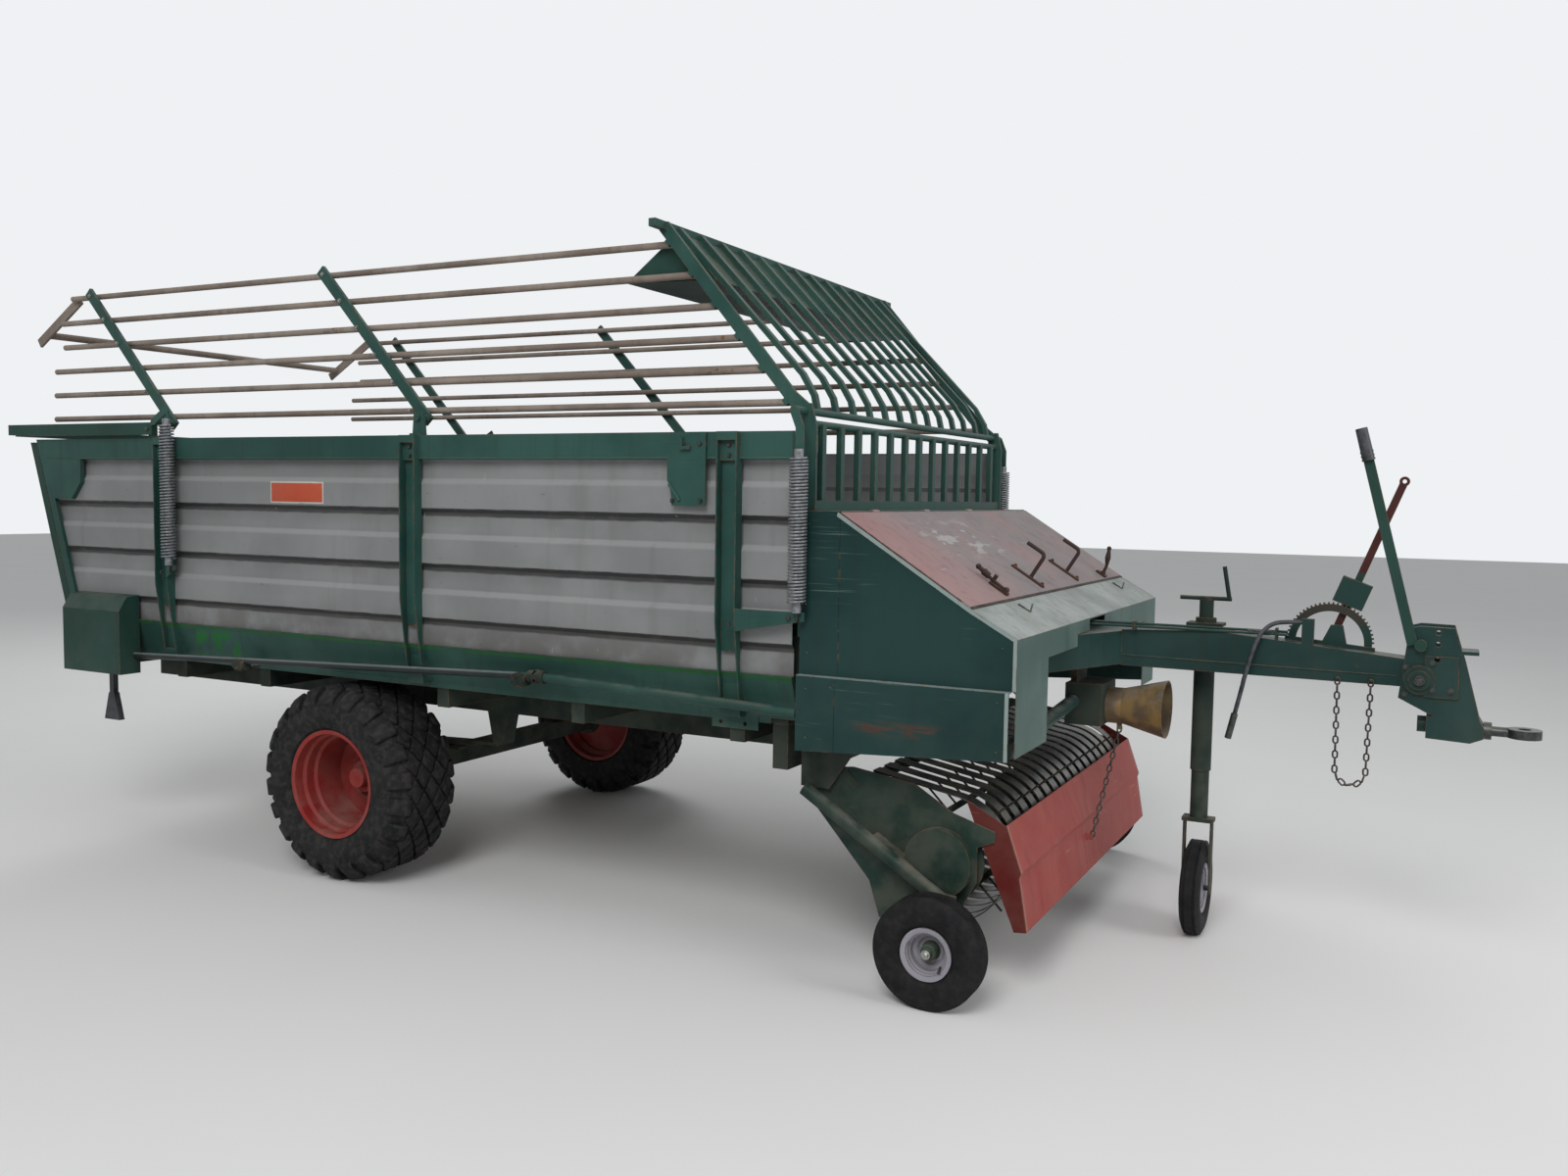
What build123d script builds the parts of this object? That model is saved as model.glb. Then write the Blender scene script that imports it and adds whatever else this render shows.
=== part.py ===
# Loader wagon: a single-axle self-loading forage wagon with corrugated steel side walls, a folding
# hay frame, a floating pick-up under a sheet-metal housing, and a central drawbar on a jack wheel.
# Millimetres. X runs forward to the hitch, Y to the left, Z up; the ground is z = 0 and the origin
# lies under the middle of the whole machine. Lengths along X are given from the main axle.
from build123d import *
import math
import os

os.makedirs("parts", exist_ok=True)

REAR_REACH = 2195.0                 # axle to the rear end of the tailgate arms
HITCH_REACH = 4450.0                # axle to the front of the hitch eye
AXLE_X = (REAR_REACH - HITCH_REACH) / 2
SHEET = 3.0                         # thickness of the pressed and folded panels
SEAT = 0.3                          # gap of a piece that rests on a moving neighbour
FIT = 0.05                          # radial clearance of a running fit


def at(distance):
    """X of a point this far ahead of the main axle."""
    return AXLE_X + distance


def box(x0, x1, y0, y1, z0, z1):
    return Pos((x0 + x1) / 2, (y0 + y1) / 2, (z0 + z1) / 2) * Box(x1 - x0, y1 - y0, z1 - z0)


def prism(points, direction, length):
    face = Face(Wire.make_polygon([Vector(*point) for point in points], close=True))
    return extrude(face, amount=length, dir=direction)


def side_prism(outline, y0, y1):
    """A plate seen from the side: an outline of (x, z) from y0 to y1."""
    return prism([(x, y0, z) for x, z in outline], (0, 1, 0), y1 - y0)


def end_prism(outline, x0, x1):
    """A section seen from the end: an outline of (y, z) from x0 to x1."""
    return prism([(x0, y, z) for y, z in outline], (1, 0, 0), x1 - x0)


def plan_prism(outline, z0, z1):
    """A plate seen from above: an outline of (x, y) from z0 to z1."""
    return prism([(x, y, z0) for x, y in outline], (0, 0, 1), z1 - z0)


def rod(start, end, radius):
    start, end = Vector(*start), Vector(*end)
    upright = (Align.CENTER, Align.CENTER, Align.MIN)
    return Plane(origin=start, z_dir=end - start) * Cylinder(radius, (end - start).length, align=upright)


def tube(start, end, radius, wall):
    return rod(start, end, radius) - rod(start, end, radius - wall)


def bar(start, end, width, height, across=(0, 1, 0)):
    """A rectangular bar from start to end; width lies along the direction across."""
    start, end = Vector(*start), Vector(*end)
    plane = Plane(origin=start, x_dir=across, z_dir=end - start)
    return plane * Box(width, height, (end - start).length, align=(Align.CENTER, Align.CENTER, Align.MIN))


def bent_bar(points, width, height, y):
    """A flat bar bent in the XZ plane, its middle at y, mitred at each (x, z) point."""
    sides = ([], [])
    for index, (x, z) in enumerate(points):
        before = points[max(index - 1, 0)]
        after = points[min(index + 1, len(points) - 1)]
        into = Vector(x - before[0], z - before[1]) if index else Vector(after[0] - x, after[1] - z)
        out = Vector(after[0] - x, after[1] - z) if after != points[index] else into
        middle = into.normalized() + out.normalized()
        normal = Vector(-middle.Y, middle.X).normalized()
        reach = height / 2 / normal.dot(Vector(-into.Y, into.X).normalized())
        sides[0].append((x + normal.X * reach, z + normal.Y * reach))
        sides[1].append((x - normal.X * reach, z - normal.Y * reach))
    return side_prism(sides[0] + sides[1][::-1], y - width / 2, y + width / 2)


def turned(profile, x, y, z, side=1):
    """A body of revolution on an axle along Y; the profile is (radius, distance outwards)."""
    face = Face(Wire.make_polygon([Vector(x + r, y + side * w, z) for r, w in profile], close=True))
    return revolve(face, axis=Axis((x, y, z), (0, 1, 0)), revolution_arc=360)


def other_side(shape):
    return shape.mirror(Plane.XZ)


def save(name, *shapes):
    solids = [solid for shape in shapes for solid in shape.solids()]
    export_step(Compound(solids), f"parts/{name}.step")


# Sizes of the load body
FLOOR_HALF = 985.0                  # half width of the floor, which the walls and posts stand around
WALL_OUT = FLOOR_HALF + 60.0        # outer face of the wall's ridges, from the centre line
RIDGE = 16.0                        # depth of the wall's corrugation
WALL_BOTTOM = 1040.0
RAIL_TOP = 1885.0
RAIL_BOTTOM = 1790.0
RAIL_OUT = WALL_OUT + 17.0
RAIL_IN = WALL_OUT + 1.0
POST_OUT = WALL_OUT + 43.0
POST_WIDTH = 82.0
POST_WEB = 5.0
POSTS = (at(-1075), at(425), at(1905))
KNEE_Z = 1222.0                     # the posts lean in below this height
FOOT_Z = 880.0
FOOT_OUT = WALL_OUT - 5.0
SILL_FOOT = FLOOR_HALF
WALL_FRONT = at(2150)
REAR_SLOPE = 258.0 / 829.0          # the rear edges lean back towards the top
WALL_REAR_BOTTOM = at(446.0 - REAR_REACH)
FLOOR_TOP = 885.0
FLOOR_THICK = 25.0
FLOOR_REAR = WALL_REAR_BOTTOM - 11.0
FLOOR_FRONT = at(2045)
THROAT_FRONT = at(2150)
THROAT_HALF = FLOOR_HALF - 65.0
FRAME_TOP = FLOOR_TOP - FLOOR_THICK
FRAME_BOTTOM = 700.0
BEAM_IN = 520.0
BEAM_OUT = 600.0

HOLDER = (at(1660), at(1812))       # ends of the holder plate on the top rail
STRAP = (at(1806), at(1996))        # ends of the strap under the sill

# Sizes of the front housing
HOUSING_OUT = WALL_OUT + 15.0
HOUSING_REAR = at(2187)
HOUSING_FRONT = at(2954)
HOUSING_TOP = 1612.0
LID_TOP_X = at(2323)
LID_BOTTOM = (at(2800), 1310.0)
LIP_Z = 1222.0
HOOD_PIN = 4.0
HOOD_KNUCKLES = (-750.0, -250.0, 250.0, 750.0)
LEDGE_Z = 1056.0
SKIRT_OUT = HOUSING_OUT + 25.0
SIDE_OUT = FLOOR_HALF               # outer face of the front frame's side members
SIDE_IN = SIDE_OUT - 60.0
MEMBER_BOTTOM = 1045.0
MEMBER_TOP = 1172.0
BEAM_FRONT = at(2885)
BEAM_REAR = at(2765)
UPRIGHT = (at(2050), at(2110))

# Sizes of the wheels
TYRE_R = 420.0
TYRE_W = 380.0
RIM_R = 231.0
RIM_W = 330.0
WHEEL_Y = 937.0
STUB_R = 32.0
LUG_COUNT = 22
LUG_HEIGHT = 20.0
LUG_DEPTH = 34.0
# rows of lugs: place across the half width, length round the wheel, width, lean, tilt, depth sunk, phase
LUG_ROWS = ((0.21, 74.0, 62.0, 32.0, 0.0, 3.0, 0.0), (-0.21, 74.0, 62.0, -32.0, 0.0, 3.0, 0.5),
            (0.716, 62.0, 94.0, 0.0, 24.0, 19.5, 0.25), (-0.716, 62.0, 94.0, 0.0, -24.0, 19.5, 0.75))
AXLE_END = 700.0
AXLE_TUBE = 80.0
GAUGE_X = at(2700)
GAUGE_R = 188.0
GAUGE_W = 100.0
GAUGE_RIM_R = 88.5
GAUGE_STUB_R = 12.5
JACK_X = at(3335)
JACK_Y = 105.0
JACK_R = 180.0
JACK_W = 76.0
JACK_RIM_R = 95.0
JACK_STUB_R = 10.0

# Sizes of the pick-up
HINGE = (at(2200), 680.0)
HINGE_PIN = 15.0
CHEEK_IN = SIDE_IN - 20.0
CHEEK_OUT = CHEEK_IN + 8.0
PICKUP_ARM_Y = CHEEK_OUT + 57.0
GAUGE_Y = PICKUP_ARM_Y + 130.0
REEL = (at(2660), 435.0)
REEL_SHAFT = 20.0
TINE_TIP = 255.0
TINE_BAR = 130.0
BAND_R = 220.0
BAND_THICK = 4.0
BAND_WIDTH = 60.0
BAND_PITCH = 98.0
BAND_COUNT = 18

# Sizes of the feed rotor between the pick-up and the load space
ROTOR = (at(2420), 1015.0)
ROTOR_TIP = 212.0
ROTOR_TUBE = 50.0
CHANNEL_R = 285.0

# Sizes of the folding hay frame
PIVOT_Z = 1955.0
PIVOT_R = 13.0
PIVOTS = (at(-1092), at(450), at(2172))
ARM_OUT = WALL_OUT - 44.0
ARM_IN = ARM_OUT - 16.0
ROD_Y = ARM_IN - 25.0
ROD_R = 13.0
ROD_TOP = (-571.0, 612.0)           # offset of the top rod from every pivot
ROD_LOW = (-85.0, 34.0)             # offset of the lowest rod
ROD_REARS = tuple(past - REAR_REACH for past in (342.0, 260.0, 275.0, 205.0, 197.0, 192.0))
LEVER_IN = WALL_OUT + 50.0
LEVER_OUT = LEVER_IN + 8.0
SPRING_Y = WALL_OUT + 60.0
SPRING_R = 33.0
# x, lower end and upper end of the rear and the front balance spring
SPRINGS = ((at(-995), 1310.0, 1970.0), (at(2196), 1270.0, 1822.0))

# Sizes of the drawbar
BEAM_HALF = 60.0
DRAWBAR = ((at(3055), 1041.0), (at(4060), 1038.0), (at(4060), 1131.0), (at(3395), 1192.0), (at(3055), 1178.0))
EYE = (at(HITCH_REACH - 52.0), 900.0)
EYE_OUT = 52.0
EYE_BORE = 20.0
CHAIN_ENDS = (3815.0, 3923.0)
CHAIN_TOP = 1052.0
HOSE_R = 8.0
# distance ahead of the axle, y and z of the corners of the hose's path
HOSE_POINTS = ((3690, -45, 1240), (3640, -45, 1240), (3588, -62, 1232), (3552, -86, 1192), (3530, -100, 1126),
               (3512, -104, 1052), (3497, -104, 975), (3480, -102, 900))

PTO_R = 17.5
QUADRANT_TEETH = 30

# Sizes of the tailgate
GATE_HINGE = (at(-1150), 1928.0)
GATE_PIN = 10.0
GATE_GAP = 40.0
GATE_ARM_IN = RAIL_OUT + 4.0
GATE_ARM_OUT = GATE_ARM_IN + 20.0


def wall_rear(z):
    """X of the wall's sloping rear edge at a height."""
    return WALL_REAR_BOTTOM - (z - WALL_BOTTOM) * REAR_SLOPE


def drawbar_top(x):
    """Height of the drawbar's upper face."""
    low, high, front = DRAWBAR[4], DRAWBAR[3], DRAWBAR[2]
    start, end = (low, high) if x < high[0] else (high, front)
    return start[1] + (x - start[0]) * (end[1] - start[1]) / (end[0] - start[0])


def chain(points, pitch, pin_axis):
    """Flat links along (x, y, z) points; every second link is turned a quarter round."""
    thick, inner = 6.0, 5.0
    hole = pitch / 2 + 0.2
    reach, half = hole + thick, inner + thick
    outline = [(-reach, -3), (-hole, -half), (hole, -half), (reach, -3), (reach, 3), (hole, half), (-hole, half),
               (-reach, 3)]
    plate = plan_prism(outline, -thick / 2, thick / 2) - box(-hole, hole, -inner, inner, -thick, thick)
    legs = list(zip(points, points[1:]))
    total = sum((Vector(*b) - Vector(*a)).length for a, b in legs)
    count = round(total / pitch)
    links = []
    for index in range(count):
        left = (index + 0.5) * total / count
        for a, b in legs:
            run = Vector(*b) - Vector(*a)
            if left <= run.length:
                break
            left -= run.length
        along = run.normalized()
        across = Vector(*pin_axis)
        across = (across - along * across.dot(along)).normalized()
        normal = across if index % 2 == 0 else along.cross(across)
        links.append(Plane(origin=Vector(*a) + along * left, x_dir=along, z_dir=normal) * plate)
    return links


def main_frame():
    y_in, y_out = BEAM_IN, BEAM_OUT
    beam = box(FLOOR_REAR + 10, UPRIGHT[1], -y_out, -y_in, FRAME_BOTTOM, FRAME_TOP)
    frame = beam + other_side(beam)
    for x in (FLOOR_REAR + 40, at(-1075), at(-520), at(520), at(1200), at(1905)):
        frame += box(x - 30, x + 30, -FLOOR_HALF, FLOOR_HALF, FRAME_TOP - 80, FRAME_TOP)
    frame += box(UPRIGHT[0], UPRIGHT[1], -FLOOR_HALF, FLOOR_HALF, FRAME_BOTTOM, FRAME_TOP)
    for x in (-560, 480):
        hanger = side_prism([(at(x) - 55, FRAME_BOTTOM), (at(x) + 55, FRAME_BOTTOM),
                             (at(x) + 25, TYRE_R + 140), (at(x) - 25, TYRE_R + 140)], -y_out, -y_in)
        frame += hanger + other_side(hanger)
    save("main_frame", frame)


def load_floor():
    outline = [(FLOOR_REAR, -FLOOR_HALF), (FLOOR_FRONT, -FLOOR_HALF), (FLOOR_FRONT, -THROAT_HALF),
               (THROAT_FRONT, -THROAT_HALF), (THROAT_FRONT, THROAT_HALF), (FLOOR_FRONT, THROAT_HALF),
               (FLOOR_FRONT, FLOOR_HALF), (FLOOR_REAR, FLOOR_HALF)]
    save("load_floor", plan_prism(outline, FRAME_TOP, FLOOR_TOP))


def scraper_floor():
    """Chains run along the floor and pull slats to the rear."""
    chain_half, slat_height = 9.0, 30.0
    run = (FLOOR_REAR + 30, FLOOR_FRONT - 30)
    chains = [box(run[0], run[1], y - chain_half, y + chain_half, FLOOR_TOP, FLOOR_TOP + 12)
              for y in (60 - THROAT_HALF, -300, 300, THROAT_HALF - 60)]
    floor = chains[0] + chains[1] + chains[2] + chains[3]
    slats = 9
    for index in range(slats):
        x = run[0] + 60 + index * (run[1] - run[0] - 120) / (slats - 1)
        floor += box(x - 20, x + 20, 20 - THROAT_HALF, THROAT_HALF - 20, FLOOR_TOP + 12, FLOOR_TOP + slat_height)
    save("scraper_floor", floor)


def wall_section():
    """Outer face of the corrugated sheet, from the top down: (distance out, z)."""
    recess = WALL_OUT - RIDGE
    face = [(recess, RAIL_TOP - 6)]
    for top, bottom in ((1704, 1588), (1482, 1366), (1260, 1146)):
        face += [(recess, top + 10), (WALL_OUT, top - 10), (WALL_OUT, bottom + 8), (recess, bottom - 10)]
    return face + [(recess, WALL_BOTTOM)]


def side_wall():
    face = wall_section()
    inner = [(y - SHEET, z) for y, z in face]
    sheet = end_prism([(-y, z) for y, z in face + inner[::-1]], WALL_REAR_BOTTOM - 351, WALL_FRONT)
    cut_z = (WALL_BOTTOM - 50, RAIL_TOP + 50)
    behind = WALL_REAR_BOTTOM - 551
    cutter = side_prism([(behind, cut_z[0]), (wall_rear(cut_z[0]), cut_z[0]),
                         (wall_rear(cut_z[1]), cut_z[1]), (behind, cut_z[1])], -WALL_OUT - 10, 100 - WALL_OUT)
    sheet -= cutter
    save("side_walls", sheet, other_side(sheet))


def post(x):
    """A channel post outside the wall, open outwards; its lower end leans in to the sill."""
    half = POST_WIDTH / 2
    high, low = -RAIL_OUT - POST_WEB, -WALL_OUT - POST_WEB - 1
    hollow = [(high, RAIL_TOP - 30), (-POST_OUT - 5, RAIL_TOP - 30), (-POST_OUT - 5, KNEE_Z),
              (-FOOT_OUT - 12, FOOT_Z + 40), (18 - FOOT_OUT, FOOT_Z + 40), (low, KNEE_Z - 60),
              (low, RAIL_BOTTOM - 5), (high, RAIL_BOTTOM - 5)]
    outline = [(-RAIL_OUT, RAIL_TOP), (-POST_OUT, RAIL_TOP), (-POST_OUT, KNEE_Z), (-FOOT_OUT, FOOT_Z),
               (-SILL_FOOT - 8, FOOT_Z), (-WALL_OUT, WALL_BOTTOM), (-WALL_OUT - 1, RAIL_BOTTOM),
               (-RAIL_OUT, RAIL_BOTTOM)]
    return end_prism(outline, x - half, x + half) - end_prism(hollow, x - half + POST_WEB, x + half - POST_WEB)


def wall_frame():
    rear_top = wall_rear(RAIL_TOP)
    rail = side_prism([(rear_top, RAIL_TOP), (WALL_FRONT, RAIL_TOP), (WALL_FRONT, RAIL_BOTTOM),
                       (wall_rear(RAIL_BOTTOM), RAIL_BOTTOM)], -RAIL_OUT, -RAIL_IN)
    frame = rail
    for x in POSTS:
        frame += post(x)
    sill = end_prism([(-SILL_FOOT - 8, FOOT_Z), (-SILL_FOOT, FOOT_Z), (-SILL_FOOT, FRAME_TOP),
                      (-SILL_FOOT - 8, FRAME_TOP)], FLOOR_REAR + 20, FLOOR_FRONT)
    lean = end_prism([(-SILL_FOOT - 8, FOOT_Z), (-SILL_FOOT, FOOT_Z), (-WALL_OUT + RIDGE + SHEET, WALL_BOTTOM),
                      (-WALL_OUT, WALL_BOTTOM)], FLOOR_REAR + 20, WALL_FRONT)
    frame += sill + lean
    edge = side_prism([(wall_rear(RAIL_BOTTOM), RAIL_BOTTOM), (wall_rear(WALL_BOTTOM), WALL_BOTTOM),
                       (wall_rear(WALL_BOTTOM) + 45, WALL_BOTTOM), (wall_rear(RAIL_BOTTOM) + 45, RAIL_BOTTOM)],
                      -RAIL_OUT, -RAIL_IN)
    corner = side_prism([(wall_rear(RAIL_BOTTOM) + 45, RAIL_BOTTOM), (wall_rear(1600) + 45, 1600),
                         (FLOOR_REAR + 20, 1600), (FLOOR_REAR + 90, 1680), (FLOOR_REAR + 90, RAIL_BOTTOM)],
                      -RAIL_OUT - 6, -RAIL_IN)
    frame += edge + corner + pivot_ears() + spring_brackets() + rail_holder() + strap()
    save("wall_frames", frame, other_side(frame))


def rail_holder():
    """A folded holder plate that hangs over the top rail, with a bent rod along its lower corner."""
    x0, x1 = HOLDER
    low, high = RAIL_TOP - 262, RAIL_TOP
    outer = -RAIL_OUT - 10
    plate = side_prism([(x0, high), (x1, high), (x1, low),
                        (x0 + 12, low), (x0 + 6, low + 70), (x0 - 8, low + 90),
                        (x0 - 8, high - 30)], outer, outer + 4)
    for z in (RAIL_BOTTOM, high - 60):
        plate += box(x0, x1, outer, -RAIL_OUT, z, z + 20)
    plate += rod((x0 + 2, outer - 2, low + 78), (x0 + 46, outer - 2, low + 18), 6)
    plate += box(x0 + 50, x0 + 62, outer - 14, outer, high - 62, high - 20)
    plate += box(x0 + 50, x0 + 92, outer - 14, outer, high - 62, high - 50)
    return plate


def strap():
    """A flat strap with two holes that hangs from the sill."""
    x0, x1 = STRAP
    y = -SILL_FOOT - 8
    plate = box(x0, x1, y - 4, y, FOOT_Z - 50, FOOT_Z + 10)
    for x in (x0 + 42, x1 - 48):
        plate -= rod((x - 6, y - 10, FOOT_Z - 30), (x - 6, y + 10, FOOT_Z - 30), 8)
    return plate


def pivot_ears():
    """Ears on the right top rail for the rear and middle arms and for the tailgate."""
    ears = []
    for x in PIVOTS[:2]:
        ear = side_prism([(x - 32, RAIL_TOP), (x + 32, RAIL_TOP),
                          (x + 24, PIVOT_Z + 26), (x - 24, PIVOT_Z + 26)],
                         -WALL_OUT, 14 - WALL_OUT)
        base = box(x - 32, x + 32, -RAIL_OUT, 14 - WALL_OUT, RAIL_TOP, RAIL_TOP + 8)
        ears.append(ear + base - rod((x, -1200, PIVOT_Z), (x, -900, PIVOT_Z), PIVOT_R + FIT))
    x, z = GATE_HINGE
    ear = box(x - 25, x + 25, -RAIL_OUT, 10 - RAIL_OUT, RAIL_TOP, z + 28)
    ears.append(ear + rod((x, -GATE_ARM_OUT - 8, z), (x, 10 - RAIL_OUT, z), GATE_PIN))
    return ears[0] + ears[1] + ears[2]


def spring_brackets():
    """Plates on the right rear and front posts that hold the lower ends of the balance springs."""
    rear = side_prism([(POSTS[0] + 41, 1250), (SPRINGS[0][0] + 20, 1290), (SPRINGS[0][0] + 20, SPRINGS[0][1]),
                       (POSTS[0] + 41, SPRINGS[0][1])], -POST_OUT - 4, -POST_OUT + 6)
    front = side_prism([(POSTS[2] + 41, 1190), (SPRINGS[1][0] + 20, 1240), (SPRINGS[1][0] + 20, SPRINGS[1][1]),
                        (POSTS[2] + 41, SPRINGS[1][1])], -POST_OUT - 4, -POST_OUT + 6)
    return rear + front


def lower_grille():
    x = at(2196)
    rail_z = PIVOT_Z - 42
    post_in, post_out = ARM_OUT + 3, ARM_OUT + 15
    side = side_prism([(at(2150), HOUSING_TOP + 3), (at(2216), HOUSING_TOP + 3), (at(2216), 1900),
                       (at(2196), PIVOT_Z + 26), (at(2148), PIVOT_Z + 26), (at(2150), 1900)], -post_out, -post_in)
    side -= rod((PIVOTS[2], -1200, PIVOT_Z), (PIVOTS[2], -900, PIVOT_Z), PIVOT_R + FIT)
    grille = side + other_side(side)
    grille += box(x - 14, x + 14, -post_in, post_in, HOUSING_TOP + 3, HOUSING_TOP + 38)
    grille += rod((at(2180), -post_in, rail_z), (at(2180), post_in, rail_z), 13)
    for index in range(13):
        y = -915 + index * 152.5
        grille += box(x - 16, x + 4, y - 15, y + 15, HOUSING_TOP + 38, rail_z)
    save("lower_grille", grille)


def front_frame():
    """Uprights, side members and the cross beam that carries the drawbar."""
    x0, x1 = UPRIGHT
    side = box(x0, x1, -SIDE_OUT, -SIDE_IN, FRAME_TOP, HOUSING_TOP - 12)
    side += box(x1, BEAM_FRONT, -SIDE_OUT, -SIDE_IN, MEMBER_BOTTOM, MEMBER_TOP)
    hanger = side_prism([(at(2140), MEMBER_BOTTOM), (at(2140), 640), (at(2250), 640), (at(2330), 760),
                         (at(2500), 900), (at(2500), MEMBER_BOTTOM)], -SIDE_IN - 12, -SIDE_IN)
    side += hanger
    side += rod((HINGE[0], -SIDE_IN, HINGE[1]), (HINGE[0], -CHEEK_IN + 8, HINGE[1]), HINGE_PIN)
    side += box(at(2790), at(2850), -HOUSING_OUT + SHEET, -SIDE_OUT, 1080, 1140)
    side += box(x1 - 50, at(2225), -SIDE_OUT - 20, -SIDE_OUT, 1500, 1540)
    side += box(at(2190), at(2225), -HOUSING_OUT + SHEET, -SIDE_OUT - 20, 1500, 1540)
    side -= rod((ROTOR[0], -1200, ROTOR[1]), (ROTOR[0], -800, ROTOR[1]), REEL_SHAFT + FIT)
    beam = box(BEAM_REAR, BEAM_FRONT, -SIDE_IN, SIDE_IN, MEMBER_BOTTOM, MEMBER_TOP)
    tube_plate = box(at(2850), BEAM_FRONT, -SIDE_IN - 12, -SIDE_IN, 800, MEMBER_BOTTOM)
    save("front_frame", side + beam + other_side(side) + tube_plate)


def housing():
    top = HOUSING_TOP
    outline = [(HOUSING_REAR, LEDGE_Z), (HOUSING_REAR, top), (LID_TOP_X, top), LID_BOTTOM,
               (HOUSING_FRONT, LIP_Z), (HOUSING_FRONT, LEDGE_Z)]
    panel = side_prism(outline, -HOUSING_OUT, -HOUSING_OUT + SHEET)
    skirt = side_prism([(HOUSING_REAR, 795), (HOUSING_REAR, LEDGE_Z), (at(2938), LEDGE_Z), (at(2938), 835)],
                       -SKIRT_OUT, -SKIRT_OUT + SHEET)
    skirt += box(HOUSING_REAR, at(2938), -SKIRT_OUT, -HOUSING_OUT + SHEET, LEDGE_Z - SHEET, LEDGE_Z)
    panel += skirt
    seam = HOUSING_REAR + 146
    panel -= box(seam - 2, seam + 2, -HOUSING_OUT - 1, 1.5 - HOUSING_OUT, LEDGE_Z + 4, top - 12)
    panel -= box(seam - 2, seam + 2, -SKIRT_OUT - 1, 1.5 - SKIRT_OUT, 790, LEDGE_Z - 8)
    slope = side_prism([(LID_TOP_X + 2, top), LID_BOTTOM, (HOUSING_FRONT, LIP_Z), (HOUSING_FRONT, LIP_Z - 12),
                        (LID_BOTTOM[0] - 2, LID_BOTTOM[1] - 13), (LID_TOP_X - 2, top - 13)],
                       -HOUSING_OUT - 4, -HOUSING_OUT)
    front = box(HOUSING_FRONT - 12, HOUSING_FRONT, -HOUSING_OUT - 4, -HOUSING_OUT, LEDGE_Z, LIP_Z - 2)
    front += box(at(2926), at(2938), -SKIRT_OUT - 4, -SKIRT_OUT, 835, LEDGE_Z)
    save("housing_sides", panel + slope + front, other_side(panel + slope + front))
    inner = HOUSING_OUT - SHEET
    ledge = box(UPRIGHT[1], LID_TOP_X - 6, 37 - inner, inner - 37, top, top + SHEET)
    ledge += box(HOUSING_REAR, LID_TOP_X - 6, -inner, inner, top, top + SHEET)
    ledge += box(UPRIGHT[1], UPRIGHT[1] + SHEET, -SIDE_OUT, SIDE_OUT, 1320, top)
    for y in HOOD_KNUCKLES:
        ledge -= box(LID_TOP_X - 12, LID_TOP_X + 12, y - 32, y + 32, top - 12, top + 12)
    ledge += rod((LID_TOP_X, 17 - inner, top), (LID_TOP_X, inner - 17, top), HOOD_PIN)
    for y in (27 - inner, -500, 0, 500, inner - 27):
        ledge += box(LID_TOP_X - 10, LID_TOP_X + 1, y - 10, y + 10, top - 3, top + SHEET)
    save("housing_top", ledge)
    slope = (LIP_Z - LID_BOTTOM[1]) / (HOUSING_FRONT - LID_BOTTOM[0])
    lip = side_prism([(LID_BOTTOM[0] + 4, LID_BOTTOM[1] + 4 * slope), (HOUSING_FRONT, LIP_Z),
                      (HOUSING_FRONT, LIP_Z - 4), (LID_BOTTOM[0] + 4, LID_BOTTOM[1] + 4 * slope - 4)],
                     -inner, inner)
    length = lid_length()
    lip += side_prism([on_lid(length - 45, 1 - SEAT), on_lid(length, 1 - SEAT),
                       (LID_BOTTOM[0] + 6, LID_BOTTOM[1] + 6 * slope - 1),
                       (LID_BOTTOM[0] + 6, LID_BOTTOM[1] + 6 * slope - 4), on_lid(length, -3),
                       on_lid(length - 45, -3)], -inner, inner)
    strip = box(HOUSING_FRONT - SHEET, HOUSING_FRONT, -inner, inner, 1130, LIP_Z - 3)
    notch = box(HOUSING_FRONT - 10, HOUSING_FRONT + 10, -150, 90, 1100, LIP_Z - 5)
    notch += box(HOUSING_FRONT - 10, HOUSING_FRONT + 10, -320, 320, 1100, MEMBER_TOP + 2)
    front = lip + strip - notch
    front += box(HOUSING_FRONT - SHEET, HOUSING_FRONT, -inner, -700, 842, 1130)
    front += box(HOUSING_FRONT - SHEET, HOUSING_FRONT, 826, inner, 842, 1130)
    save("housing_front", front)


def lid_length():
    return math.hypot(LID_BOTTOM[0] - LID_TOP_X, LID_BOTTOM[1] - HOUSING_TOP)


def on_lid(distance, lift):
    """(x, z) of a point this far down the slope of the housing and this far off it."""
    length = lid_length()
    along_x, along_z = (LID_BOTTOM[0] - LID_TOP_X) / length, (LID_BOTTOM[1] - HOUSING_TOP) / length
    return (LID_TOP_X + along_x * distance - along_z * lift, HOUSING_TOP + along_z * distance + along_x * lift)


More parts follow.
